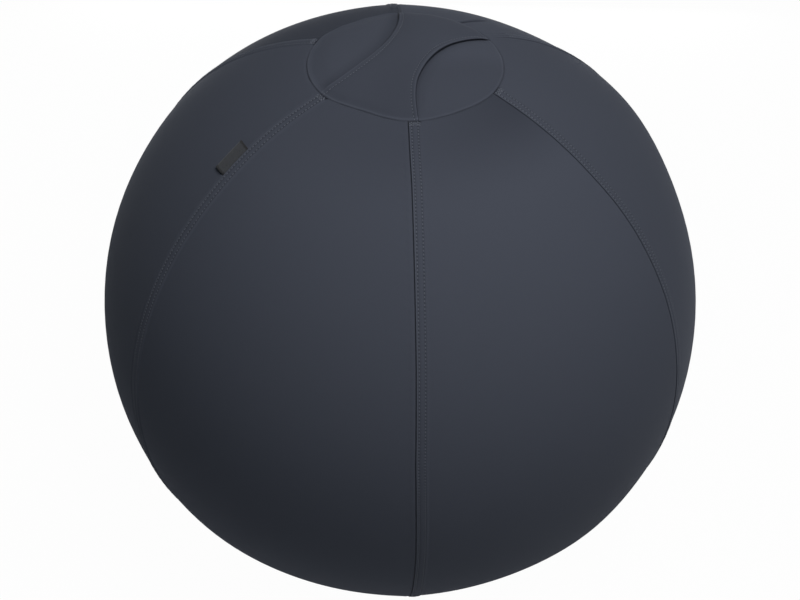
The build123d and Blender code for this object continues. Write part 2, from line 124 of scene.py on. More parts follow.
# How far two of the seams wander from their even places: polar angle and turn, in degrees
SEAM_WANDERS = {
    1: (
        (17, -1.2), (25, -0.8), (30, -0.5), (40, -0.38), (60, -0.2),
        (78, -0.2), (86, 0.0), (100, 0.38), (120, 0.45), (160, 0.0),
    ),
    2: (
        (17, -2.3), (28, -2.7), (34, -2.4), (40, -2.1), (46, -1.5),
        (52, -1.25), (66, -1.3), (80, -1.6), (130, 0.0),
    ),
}
WANDER_REACH = radians(14)
# Where the filled cover swells or is drawn in: azimuth, polar angle and reach in degrees, and height
SWELLINGS = (
    (50, 54, 10, 5.0 * MM),
    (-16, 117, 10, 3.8 * MM),
    (254, 120, 10, 2.2 * MM),
    (116, 38, 14, -1.2 * MM),
    (-63, 131, 12, -1.1 * MM),
)

# The two seams that the handle's rear corners meet, and the length over which their heads lie flat
REAR_SEAMS = (3, 4)
REAR_HEAD = 32 * MM

# Small pleat that the crown's ring draws into the rear gore, and its place across that gore
PLEAT_GORE = 3
PLEAT_SHARE = 0.27
PLEAT_LENGTH = 62 * MM
PLEAT_WIDTH = 1.4 * MM
PLEAT_DEPTH = 1.2 * MM
# Painted shade in the pleat's crease
PLEAT_DARK = 0.7

# Zip opening in a rear seam: the gore whose last edge it is on, half its width, and the length over which
# each end closes
ZIP_GORE = 3
ZIP_ANGLE = FRONT + (ZIP_GORE + 0.5) * STEP
SLOT_HALF = 4.9 * MM
SLOT_EASE = 9 * MM

# Woven tab in a front seam: the gore it lies on, its polar angle and its length
TAB_GORE = 5
TAB_POLAR = radians(36.1)
TAB_LENGTH = 35 * MM

# Handle: half its waist, and its cloth
HANDLE_WAIST_HALF = 28 * MM
HANDLE_CLOTH = 1.8 * MM


def srgb(red, green, blue):
    """A colour written as 0 to 255, in Blender's linear numbers."""
    linear = []
    for channel in (red, green, blue):
        share = channel / 255
        linear.append(share / 12.92 if share <= 0.04045 else ((share + 0.055) / 1.055) ** 2.4)
    return (*linear, 1.0)


class Tree:
    """A node tree in the making, with short ways to add and join nodes."""

    def __init__(self, tree):
        self.tree = tree

    def node(self, kind, inputs=None, **settings):
        """Adds a node, sets it, and fills or links its inputs."""
        made = self.tree.nodes.new(kind)
        for name, value in settings.items():
            setattr(made, name, value)
        for key, value in (inputs or {}).items():
            self.feed(made.inputs[key], value)
        return made

    def feed(self, socket, value):
        """Links an output to a socket, or sets the socket to a plain value."""
        if isinstance(value, bpy.types.NodeSocket):
            self.tree.links.new(value, socket)
        else:
            socket.default_value = value

    def math(self, operation, *values):
        """A math node's output."""
        return self.node("ShaderNodeMath", dict(enumerate(values)), operation=operation).outputs[0]


class Finish(Tree):
    """A material in the making."""

    def __init__(self, name, colour, roughness, **sockets):
        self.material = bpy.data.materials.new(name)
        self.material.use_nodes = True
        super().__init__(self.material.node_tree)
        self.shader = self.tree.nodes["Principled BSDF"]
        self.shader.inputs["Base Color"].default_value = colour
        self.shader.inputs["Roughness"].default_value = roughness
        for socket, value in sockets.items():
            self.shader.inputs[socket.replace("_", " ")].default_value = value

    def noise(self, vector, scale, detail):
        """Noise from 0 to 1 at a scale."""
        made = self.node("ShaderNodeTexNoise", {"Vector": vector, "Scale": scale, "Detail": detail})
        return made.outputs["Fac"]

    def spread(self, value, low, high):
        """A value from 0 to 1, spread from low to high."""
        made = self.node("ShaderNodeMapRange", {"Value": value, "To Min": low, "To Max": high})
        return made.outputs["Result"]

    def share(self, value, low, high):
        """A value that runs from low to high, brought to 0 to 1."""
        made = self.node("ShaderNodeMapRange", {"Value": value, "From Min": low, "From Max": high})
        return made.outputs["Result"]

    def wave(self, value, pitch):
        """A wave from -1 to 1 that repeats at a pitch."""
        return self.math("SINE", self.math("MULTIPLY", value, 2 * pi / pitch))

    def mix(self, share, first, second):
        """Two colours mixed by a share."""
        made = self.node("ShaderNodeMix", data_type="RGBA")
        self.feed(made.inputs["Factor"], share)
        self.feed(made.inputs[6], first)
        self.feed(made.inputs[7], second)
        return made.outputs[2]

    def cut(self):
        """Places across and along the cloth in metres, from the piece's own map."""
        uv = self.node("ShaderNodeUVMap", uv_map="cut").outputs["UV"]
        split = self.node("ShaderNodeSeparateXYZ", {"Vector": uv})
        return split.outputs["X"], split.outputs["Y"]

    def place(self):
        """The place on the object."""
        return self.node("ShaderNodeTexCoord").outputs["Object"]

    def colour(self, value):
        """Gives the shader a colour."""
        self.feed(self.shader.inputs["Base Color"], value)

    def painted_light_colour(self, cloth, highlight_colour, deep):
        """Gives the shader the cloth's colour, mixed by the fold shade towards a painted highlight where that
        is below 0, and towards a dark colour where it is above: painted shade, and on the tab its sealed ends.
        """
        shade = self.node("ShaderNodeAttribute", attribute_name="fold_shade").outputs["Fac"]
        highlit = self.mix(self.math("MULTIPLY", shade, -1.0), cloth, highlight_colour)
        self.colour(self.mix(shade, highlit, deep))

    def roughness(self, value, low, high):
        """Gives the shader a roughness that follows a value from 0 to 1."""
        self.feed(self.shader.inputs["Roughness"], self.spread(value, low, high))

    def bump(self, height, distance, strength):
        """Gives the shader a relief of that height."""
        made = self.node(
            "ShaderNodeBump", {"Height": height, "Distance": distance, "Strength": strength}
        )
        self.feed(self.shader.inputs["Normal"], made.outputs["Normal"])


# Twill: distance between its ribs, and the picks' share of a rib
TWILL_PITCH = 1.15 * MM
TWILL_PICK = 0.35


def cover_cloth():
    """Matte twill of two blue-grey yarns, with painted shade in its folds, seams and needle holes and a painted
    highlight along its folded edges.
    """
    finish = Finish(
        "cover_cloth",
        srgb(72, 76, 86),
        0.92,
        Specular_IOR_Level=0.05,
        Sheen_Weight=0.06,
        Sheen_Roughness=0.4,
        Sheen_Tint=(0.86, 0.9, 1.0, 1),
    )
    across, along = finish.cut()
    rib = finish.wave(finish.math("ADD", across, along), TWILL_PITCH)
    pick = finish.wave(finish.math("SUBTRACT", across, along), TWILL_PITCH / 2)
    weave = finish.math("MULTIPLY_ADD", pick, TWILL_PICK, rib)
    weave = finish.share(weave, -1 - TWILL_PICK, 1 + TWILL_PICK)
    place = finish.place()
    fleck = finish.noise(place, 1400.0, 1.0)
    drift = finish.noise(place, 16.0, 3.0)
    yarns = finish.mix(
        finish.math("MULTIPLY_ADD", weave, 0.6, finish.math("MULTIPLY", fleck, 0.4)),
        srgb(66, 69, 79),
        srgb(81, 85, 96),
    )
    worn = finish.mix(finish.spread(drift, 0.0, 0.2), yarns, srgb(69, 74, 85))
    # Painted highlight along folded edges and rims, and painted shade in folds, seams, needle holes and under
    # the handle
    finish.painted_light_colour(worn, srgb(112, 116, 127), srgb(18, 20, 27))
    finish.roughness(fleck, 0.86, 0.97)
    finish.bump(finish.math("MULTIPLY_ADD", fleck, 0.4, weave), 0.1 * MM, 0.5)
    return finish.material


def thread():
    """Polyester sewing thread, a little lighter than the cloth."""
    finish = Finish("sewing_thread", srgb(92, 96, 106), 0.7, Specular_IOR_Level=0.25)
    twist = finish.noise(finish.place(), 2600.0, 1.0)
    finish.colour(finish.mix(twist, srgb(84, 88, 98), srgb(116, 120, 130)))
    finish.bump(twist, 0.06 * MM, 0.6)
    return finish.material


def tab_weave():
    """Close-woven dark tape with fine ribs across it, its cut ends sealed black, and a painted highlight along
    its fold.
    """
    finish = Finish("tab_weave", srgb(34, 36, 42), 0.75, Specular_IOR_Level=0.3)
    across, along = finish.cut()
    rib = finish.math("MULTIPLY_ADD", finish.wave(across, 0.9 * MM), 0.5, finish.wave(along, 0.55 * MM))
    rib = finish.share(rib, -1.5, 1.5)
    fleck = finish.noise(finish.place(), 900.0, 2.0)
    yarns = finish.mix(finish.math("MULTIPLY", rib, fleck), srgb(30, 32, 36), srgb(85, 87, 91))
    # Fold shade: its sealed ends dark, and a painted highlight along its fold
    finish.painted_light_colour(yarns, srgb(112, 115, 120), srgb(8, 9, 12))
    finish.bump(rib, 0.1 * MM, 0.8)
    return finish.material


def zip_tape_weave():
    """Dense herringbone zip tape."""
    finish = Finish("zip_tape_weave", srgb(40, 43, 50), 0.85, Specular_IOR_Level=0.2)
    across, along = finish.cut()
    zigzag = finish.math("PINGPONG", across, 2.2 * MM)
    rib = finish.share(finish.wave(finish.math("ADD", zigzag, along), 0.8 * MM), -1.0, 1.0)
    finish.colour(finish.mix(rib, srgb(30, 33, 39), srgb(50, 54, 62)))
    finish.bump(rib, 0.1 * MM, 0.8)
    return finish.material


def zip_nylon():
    """Moulded nylon of the zip's coils."""
    finish = Finish("zip_nylon", srgb(44, 47, 54), 0.42, Specular_IOR_Level=0.5)
    grain = finish.noise(finish.place(), 900.0, 3.0)
    finish.colour(finish.mix(grain, srgb(36, 39, 46), srgb(54, 58, 66)))
    finish.roughness(grain, 0.34, 0.52)
    return finish.material


def zip_metal():
    """Dark lacquer on cast zinc, worn thinner here and there."""
    finish = Finish("zip_metal", srgb(56, 57, 61), 0.38, Specular_IOR_Level=0.6)
    place = finish.node("ShaderNodeMapping", {"Vector": finish.place(), "Scale": (1, 1, 6)})
    brush = finish.noise(place.outputs["Vector"], 700.0, 3.0)
    rub = finish.noise(finish.place(), 120.0, 2.0)
    plate = finish.mix(brush, srgb(44, 45, 49), srgb(62, 63, 68))
    finish.colour(finish.mix(finish.spread(rub, 0.0, 0.3), plate, srgb(92, 93, 97)))
    finish.roughness(brush, 0.26, 0.44)
    finish.bump(brush, 0.02 * MM, 0.5)
    return finish.material


def ball_vinyl():
    """Soft vinyl of the inner ball and its valve's seat, finely pebbled."""
    finish = Finish("ball_vinyl", srgb(130, 133, 138), 0.5, Specular_IOR_Level=0.4)
    place = finish.place()
    drift = finish.noise(place, 9.0, 2.0)
    finish.colour(finish.mix(drift, srgb(124, 127, 132), srgb(137, 140, 145)))
    pebble = finish.node("ShaderNodeTexVoronoi", {"Vector": place, "Scale": 420.0}).outputs["Distance"]
    finish.bump(pebble, 0.15 * MM, 0.5)
    return finish.material


def plug_plastic():
    """Pale moulded plastic of the valve's plug."""
    finish = Finish("plug_plastic", srgb(226, 226, 222), 0.45)
    grain = finish.noise(finish.place(), 500.0, 3.0)
    finish.colour(finish.mix(grain, srgb(218, 218, 214), srgb(234, 234, 230)))
    finish.roughness(grain, 0.38, 0.55)
    return finish.material


def pouch_lining():
    """Dark plain-woven lining of the ballast pouch."""
    finish = Finish("pouch_lining", srgb(63, 63, 66), 0.9, Specular_IOR_Level=0.2)
    place = finish.node("ShaderNodeSeparateXYZ", {"Vector": finish.place()})
    warp, weft = (finish.wave(place.outputs[side], 0.9 * MM) for side in ("X", "Y"))
    weave = finish.share(finish.math("MULTIPLY", warp, weft), -1.0, 1.0)
    finish.colour(finish.mix(weave, srgb(54, 54, 57), srgb(72, 72, 75)))
    finish.bump(weave, 0.15 * MM, 0.7)
    return finish.material


def dry_sand():
    """Washed sand, grain by grain."""
    finish = Finish("dry_sand", srgb(194, 178, 146), 0.9)
    place = finish.place()
    grain = finish.node("ShaderNodeTexVoronoi", {"Vector": place, "Scale": 900.0})
    finish.colour(finish.mix(finish.noise(place, 1500.0, 2.0), srgb(150, 132, 102), srgb(220, 206, 176)))
    finish.bump(grain.outputs["Distance"], 0.5 * MM, 0.8)
    return finish.material


CLOTH_FINISH = cover_cloth()
THREAD_FINISH = thread()
TAB_FINISH = tab_weave()
TAPE_FINISH = zip_tape_weave()
NYLON_FINISH = zip_nylon()
METAL_FINISH = zip_metal()
VINYL_FINISH = ball_vinyl()
PLASTIC_FINISH = plug_plastic()
LINING_FINISH = pouch_lining()
SAND_FINISH = dry_sand()


def ease(value, low, high):
    """0 below low, 1 above high and an even curve between them."""
    share = np.clip((value - low) / (high - low), 0, 1)
    return share * share * (3 - 2 * share)


def hump(value, middle, width):
    """1 at the middle, falling off over a width."""
    return np.exp(-(((value - middle) / width) ** 2))


def rounded(distance, reach):
    """0 at an edge, rising like a quarter round to 1 at a reach from it."""
    return np.sqrt(np.clip(1 - (1 - np.clip(distance / reach, 0, 1)) ** 2, 0, 1))


def new_object(name, mesh, material):
    """A new piece with its finish, in the scene."""
    mesh.materials.append(material)
    piece = bpy.data.objects.new(name, mesh)
    bpy.context.scene.collection.objects.link(piece)
    return piece


def cloth_piece(name, outer, inner, cut, shade, material, loop=False):
    """Closed cloth from an outer and an inner grid of points, smooth, with its map and its fold shade of
    painted shade and painted highlight.
    The grids run along the cloth by rows and across it by columns.
    A loop joins the last column to the first."""
    rows, columns = outer.shape[:2]
    number = np.arange(rows * columns).reshape(rows, columns)
    if loop:
        number = np.concatenate([number, number[:, :1]], axis=1)
    low, high = number[:-1], number[1:]
    top = np.stack([low[:, :-1], low[:, 1:], high[:, 1:], high[:, :-1]], axis=-1).reshape(-1, 4)
    under = top[:, ::-1] + rows * columns
    if loop:
        border = [number[0], number[-1][::-1]]
    else:
        border = [np.concatenate([number[0], number[1:, -1], number[-1, -2::-1], number[-2::-1, 0]])]
    sides = []
    for edge in border:
        near, far = edge[:-1], edge[1:]
        sides.append(np.stack([far, near, near + rows * columns, far + rows * columns], axis=-1))
    faces = np.concatenate([top, under, *sides])
    points = np.concatenate([outer.reshape(-1, 3), inner.reshape(-1, 3)])
    mesh = bpy.data.meshes.new(name)
    mesh.from_pydata(points.tolist(), [], faces.tolist())
    corner = np.zeros(len(mesh.loops), np.int32)
    mesh.loops.foreach_get("vertex_index", corner)
    layout = np.concatenate([cut.reshape(-1, 2)] * 2)
    mesh.uv_layers.new(name="cut").data.foreach_set("uv", layout[corner].ravel())
    darker = mesh.attributes.new("fold_shade", "FLOAT", "POINT")
    darker.data.foreach_set("value", np.concatenate([shade.ravel()] * 2).astype(np.float32))
    mesh.shade_smooth()
    return new_object(name, mesh, material)


class Recipe(Tree):
    """A Geometry Nodes tree in the making, with named inputs and one output."""

    def __init__(self, name, **inputs):
        super().__init__(bpy.data.node_groups.new(name, "GeometryNodeTree"))
        sockets = self.tree.interface
        sockets.new_socket("Line", in_out="INPUT", socket_type="NodeSocketGeometry")
        for socket, kind in inputs.items():
            sockets.new_socket(socket, in_out="INPUT", socket_type=f"NodeSocket{kind}")
        sockets.new_socket("Sewn", in_out="OUTPUT", socket_type="NodeSocketGeometry")
        self.given = self.tree.nodes.new("NodeGroupInput").outputs
        self.result = self.tree.nodes.new("NodeGroupOutput").inputs[0]

    def finish(self, geometry, material):
        """Makes instances real, gives them their finish and sends them out."""
        real = self.node("GeometryNodeRealizeInstances", {"Geometry": geometry})
        dressed = self.node("GeometryNodeSetMaterial", {"Geometry": real.outputs[0], "Material": material})
        self.feed(self.result, dressed.outputs[0])


# Thread stitches: length, half thickness and greatest sway, in radians. The zip's loops sway less
STITCH_LENGTH = 2.5 * MM
STITCH_RADIUS = 0.34 * MM
STITCH_SWAY = 0.12
COIL_SWAY = 0.02


def facing(recipe, sway):
    """Rotation that lays x along the line and z out of the cloth, swayed a little at random."""
    out = recipe.node("GeometryNodeInputNamedAttribute", {"Name": "out"}, data_type="FLOAT_VECTOR")
    tangent = recipe.node("GeometryNodeInputTangent")
    turn = recipe.node(
        "FunctionNodeAxesToRotation",
        {"Primary Axis": tangent.outputs[0], "Secondary Axis": out.outputs[0]},
        primary_axis="X",
        secondary_axis="Z",
    )
    chance = recipe.node(
        "FunctionNodeRandomValue",
        {2: recipe.math("MULTIPLY", sway, -1.0), 3: sway, "Seed": recipe.given["Seed"]},
        data_type="FLOAT",
    )
    angle = recipe.node("ShaderNodeCombineXYZ", {"Z": chance.outputs[1]})
    swayed = recipe.node("FunctionNodeEulerToRotation", {0: angle.outputs[0]})
    both = recipe.node(
        "FunctionNodeRotateRotation",
        {0: turn.outputs[0], 1: swayed.outputs[0]},
        rotation_space="LOCAL",
    )
    return both.outputs[0]


def stitch_recipe():
    """Lays one thread stitch at each point of a line."""
    recipe = Recipe("stitches", Length="Float", Radius="Float", Sway="Float", Seed="Int", Thread="Material")
    line = recipe.node("GeometryNodeMeshToCurve", {"Mesh": recipe.given["Line"]})
    half = recipe.math("MULTIPLY", recipe.given["Length"], 0.5)
    size = recipe.node(
        "ShaderNodeCombineXYZ", {"X": half, "Y": recipe.given["Radius"], "Z": recipe.given["Radius"]}
    )
    bead = recipe.node("GeometryNodeMeshUVSphere", {"Segments": 6, "Rings": 5, "Radius": 1.0})
    stitch = recipe.node("GeometryNodeTransform", {"Geometry": bead.outputs[0], "Scale": size.outputs[0]})
    laid = recipe.node(
        "GeometryNodeInstanceOnPoints",
        {
            "Points": line.outputs[0],
            "Instance": stitch.outputs[0],
            "Rotation": facing(recipe, recipe.given["Sway"]),
        },
    )
    recipe.finish(laid.outputs[0], recipe.given["Thread"])
    return recipe.tree


def coil_recipe():
    """Lays a zip's nylon loops across a cord that runs along a line."""
    recipe = Recipe("zip_coil", Reach="Float", Radius="Float", Cord="Float", Seed="Int", Nylon="Material")
    line = recipe.node("GeometryNodeMeshToCurve", {"Mesh": recipe.given["Line"]})
    rod = recipe.node(
        "GeometryNodeMeshCylinder",
        {"Vertices": 8, "Radius": recipe.given["Radius"], "Depth": recipe.given["Reach"]},
        fill_type="TRIANGLE_FAN",
    )
    across = recipe.node(
        "GeometryNodeTransform", {"Geometry": rod.outputs[0], "Rotation": (pi / 2, 0, 0)}
    )
    laid = recipe.node(
        "GeometryNodeInstanceOnPoints",
        {"Points": line.outputs[0], "Instance": across.outputs[0], "Rotation": facing(recipe, COIL_SWAY)},
    )
    outline = recipe.node(
        "GeometryNodeCurvePrimitiveCircle", {"Resolution": 8, "Radius": recipe.given["Cord"]}
    )
    cord = recipe.node(
        "GeometryNodeCurveToMesh",
        {"Curve": line.outputs[0], "Profile Curve": outline.outputs[0], "Fill Caps": True},
    )
    both = recipe.node("GeometryNodeJoinGeometry")
    for geometry in (cord.outputs[0], laid.outputs[0]):
        recipe.feed(both.inputs[0], geometry)
    recipe.finish(both.outputs[0], recipe.given["Nylon"])
    return recipe.tree


STITCH_TREE = stitch_recipe()
COIL_TREE = coil_recipe()


def along_lines(name, lines, tree, material, **values):
    """A piece that a Geometry Nodes tree makes along lines, each a pair of points and outward ways."""
    mesh = bpy.data.meshes.new(name)
    points = np.concatenate([line for line, _ in lines])
    edges = []
    for line, _ in lines:
        first = edges[-1][1] + 1 if edges else 0
        edges += [(first + step, first + step + 1) for step in range(len(line) - 1)]
    mesh.from_pydata(points.tolist(), edges, [])
    out = mesh.attributes.new("out", "FLOAT_VECTOR", "POINT")
    out.data.foreach_set("vector", np.concatenate([way for _, way in lines]).astype(np.float32).ravel())
    piece = new_object(name, mesh, material)
    modifier = piece.modifiers.new(tree.name, "NODES")
    modifier.node_group = tree
    for socket in tree.interface.items_tree:
        if socket.in_out == "INPUT" and socket.name in values:
            modifier[socket.identifier] = values[socket.name]
    graph = bpy.context.evaluated_depsgraph_get()
    made = bpy.data.meshes.new_from_object(piece.evaluated_get(graph))
    piece.modifiers.clear()
    piece.data = made
    made.shade_smooth()
    return piece


def stitches(name, lines, seed):
    """Rows of thread stitches along lines."""
    return along_lines(
        name,
        lines,
        STITCH_TREE,
        THREAD_FINISH,
        Length=STITCH_LENGTH,
        Radius=STITCH_RADIUS,
        Sway=STITCH_SWAY,
        Seed=seed,
        Thread=THREAD_FINISH,
    )


def lengths_along(line):
    """Lengths along a line of points, from its start."""
    return np.concatenate([[0], np.cumsum(np.linalg.norm(np.diff(line, axis=0), axis=1))])


def points_at(line, places):
    """Points of a line at lengths along it."""
    steps = lengths_along(line)
    return np.stack([np.interp(places, steps, side) for side in line.T], axis=-1)


def seam_reach(rise, turn):
    """Distance from the ball's axis to a gore's surface, at a turn from the gore's middle.
    rise is the distance at the middle of the gore, at the same height."""
    return np.sqrt((rise + SET_BACK) ** 2 - (SET_BACK * np.sin(turn)) ** 2) - SET_BACK * np.cos(turn)


def ring_polar(ring, turn):
    """Polar angle at which a gore meets a ring round the ball's axis."""
    rise = np.sqrt(ring**2 + 2 * ring * SET_BACK * np.cos(turn) + SET_BACK**2) - SET_BACK
    return np.arcsin(rise / MID_RADIUS)


def ring_radius(azimuth):
    """Distance from the ball's axis to the crown's ring."""
    steps = (azimuth - FRONT + HALF) % (2 * pi) / STEP
    return RING - RING_PULLS[steps.astype(int) % GORES] * np.sin(pi * steps) ** 2


def wander(azimuth, polar):
    """How far the cover is turned by a seam that wanders nearby."""
    total = np.zeros(np.broadcast_shapes(np.shape(azimuth), np.shape(polar)))
    for seam, places in SEAM_WANDERS.items():
        downs, turns = np.radians(np.array(places)).T
        near = hump(azimuth, FRONT + (seam - 0.5) * STEP, WANDER_REACH)
        total = total + np.interp(polar, downs, turns) * near
    return total


def gore_point(middle, turn, polar, height):
    """A point on a gore, at a height above its smooth surface, and the way out of the cloth there."""
    rise = MID_RADIUS * np.sin(polar)
    reach = seam_reach(rise, turn)
    azimuth = middle + turn + wander(middle + turn, polar)
    lean = azimuth - np.arcsin(SET_BACK * np.sin(turn) / (rise + SET_BACK))
    out = np.stack([np.sin(polar) * np.cos(lean), np.sin(polar) * np.sin(lean), np.cos(polar)], axis=-1)
    z = CENTRE.z + MID_RADIUS * np.cos(polar)
    point = np.stack([reach * np.cos(azimuth), reach * np.sin(azimuth), z], axis=-1)
    return point + out * np.asarray(height)[..., None], out


def polar_of(point):
    """Polar angle of a point as seen from the ball's centre."""
    return (Vector(point) - CENTRE).angle(Vector((0, 0, 1)))


def node_polars(name):
    """Lowest and highest polar angle of a CAD node's points."""
    found = [polar_of(vertex.co) for vertex in frame["nodes"][name].data.vertices]
    return min(found), max(found)


# Polar angles of the zip's opening, from the points of its stops
SLOT_START = node_polars("zip_top_stops")[0]
SLOT_END = node_polars("zip_bottom_stop")[1]


def slot_offset(polar):
    """How far the zip's opening moves a sewn edge away from its seam."""
    eased = SLOT_EASE / MID_RADIUS
    opened = ease(polar, SLOT_START - eased, SLOT_START) * (1 - ease(polar, SLOT_END, SLOT_END + eased))
    return SLOT_HALF * opened


# Columns of a gore's grid: distances from its folded edge and from its other edge, and shares of the cloth
# between them, with more round the pleat
FIRST_COLUMNS = MM * np.array(
    [0, 0.15, 0.4, 0.75, 1.2, 1.7, 2.2, 2.8, 3.4, 4.2, 5.2, 6.4]
    + [7.4, 8.2, 8.8, 9.4, 10.2, 11, 11.8, 12.8, 14.5, 18, 24]
)
LAST_COLUMNS = np.array([24, 17, 12, 9, 7, 5.4, 4.2, 3.4, 2.8, 2.2, 1.6, 1.1, 0.7, 0.35, 0, -0.8]) * MM
MIDDLE_SHARES = np.linspace(0, 1, 24)[1:-1]
PLEAT_STEPS = np.array([-4.2, -3, -2.2, -1.5, -1, -0.5, 0, 0.5, 1, 1.5, 2.2, 3, 4.2]) / 80
PLEAT_SHARES = np.sort(np.concatenate([MIDDLE_SHARES, PLEAT_SHARE + PLEAT_STEPS]))
PLEAT_COLUMN = len(FIRST_COLUMNS) + int(np.argmin(np.abs(PLEAT_SHARES - PLEAT_SHARE)))
SEAM_LENGTH = (pi - 2 * ring_polar(RING, HALF)) * SEAM_RADIUS
STITCHES = int(SEAM_LENGTH / STITCH_PITCH)
GORE_ROWS = 2 * STITCHES + 1


def ripples(along, across, seed):
    """Small slanting puckers beside a row of stitches."""
    short = np.sin(2 * pi * (along + 0.7 * across) / (10.7 * MM) + seed)
    return 0.6 * short + 0.4 * np.sin(2 * pi * (along - 0.4 * across) / (17.3 * MM) + 2.3 * seed)


def gore_columns(polar_share, zipped_first, zipped_last, shares):
    """For each row, the turn of each column, and its distance from the first and the last sewn edge."""
    top, base = ring_polar(RING, HALF), pi - ring_polar(BASE_RING, HALF)
    edge_polar = top + polar_share * (base - top)
    reach = seam_reach(MID_RADIUS * np.sin(edge_polar), HALF)
    offset = slot_offset(edge_polar)
    first = FIRST_COLUMNS[None, :] + (offset[:, None] if zipped_first else 0)
    last = np.broadcast_to(LAST_COLUMNS[None, :], (len(reach), len(LAST_COLUMNS)))
    if zipped_last:
        # Beside the zip's opening the cloth ends at its folded edge, with no lip under the next gore
        lip = LAST_COLUMNS[-1] * (1 - offset / SLOT_HALF) - 0.05 * MM
        last = np.maximum(last, lip[:, None]) + offset[:, None]
    first_turn = -(HALF - np.arcsin(first / reach[:, None]))
    last_turn = HALF - np.arcsin(last / reach[:, None])
    between = first_turn[:, -1:] + shares[None, :] * (last_turn[:, :1] - first_turn[:, -1:])
    turn = np.concatenate([first_turn, between, last_turn], axis=1)
    distance = reach[:, None] * np.sin(HALF - np.abs(turn))
    from_first = np.where(turn < 0, distance, np.inf) - (offset[:, None] if zipped_first else 0)
    from_last = np.where(turn > 0, distance, np.inf) - (offset[:, None] if zipped_last else 0)
    return turn, from_first, np.where(turn > HALF, -distance, from_last)


# Polar angles over which the ridges along the seams rise and run out
RIDGE_START = (radians(18), radians(30))
RIDGE_END = (radians(65), radians(100))


def swell(index, turn, polar):
    """How far the filled cover stands out from a gore's even shape."""
    seam = np.where(turn < 0, SEAM_RIDGES[index], SEAM_RIDGES[(index + 1) % GORES])
    height = seam * np.abs(turn / HALF) ** 3 * ease(polar, *RIDGE_START)
    height = height * (1 - ease(polar, *RIDGE_END))
    azimuth = FRONT + index * STEP + turn
    for toward, down, reach, rise in SWELLINGS:
        near = np.sin(polar) * sin(radians(down)) * np.cos(azimuth - radians(toward))
        near = near + np.cos(polar) * cos(radians(down))
        height = height + rise * np.exp((near - 1) / radians(reach) ** 2)
    return height


# Ridges and dips beside a gore's edges: height, distance from the edge and width
BAND_DIP = (0.12 * MM, FELL_WIDTH + 1.2 * MM, 1.4 * MM)
BAND_PUFF = (0.22 * MM, sum(STITCH_ROWS) / 2, 2.4 * MM)
LAST_ROLL = (0.16 * MM, 3.6 * MM, 1.5 * MM)
FIRST_PUCKER = (0.13 * MM, 6 * MM, 7 * MM)
LAST_PUCKER = (0.09 * MM, 5 * MM, 6 * MM)
# The slope at the band's inner side, and how wide and how far a row of stitches pulls the cloth in,
# with the share that only its needle holes have
BAND_SLOPE = (FELL_WIDTH - 0.9 * MM, FELL_WIDTH + 1.1 * MM)
PULL_WIDTH = 0.75 * MM
PULL_DEPTH = 0.28 * MM
HOLE_DEPTH = 0.22 * MM
# Painted shades and their widths: the folded edge, the painted highlight on its crest and its distance, the
# other edge and the rings
FOLD_DARK, FOLD_LINE = 0.85, 0.22 * MM
CREST_PALE, CREST_AT, CREST_LINE = 0.28, 1.1 * MM, 0.5 * MM
TUCK_DARK, TUCK_LINE = 0.75, 0.4 * MM
RING_DARK, RING_LINE = 0.25, 0.6 * MM
# Painted shade in the needle holes
HOLE_DARK = 0.5
# Dents at a band's head, where it goes into the ring: depth, painted shade, pitch across, and place and width
# along
DENT_DEPTH, DENT_DARK = 1.8 * MM, 0.95
DENT_PITCH, DENT_START = 4.2 * MM, 2 * MM
DENT_AT, DENT_WIDTH = 0.7 * MM, 1.3 * MM
DENT_REACH = (11 * MM, 13 * MM)
DENT_LIMIT = 20 * MM


def ridge(distance, size):
    """A low ridge beside an edge. size gives its height, its distance from the edge and its width."""
    height, middle, width = size
    return height * hump(distance, middle, width)


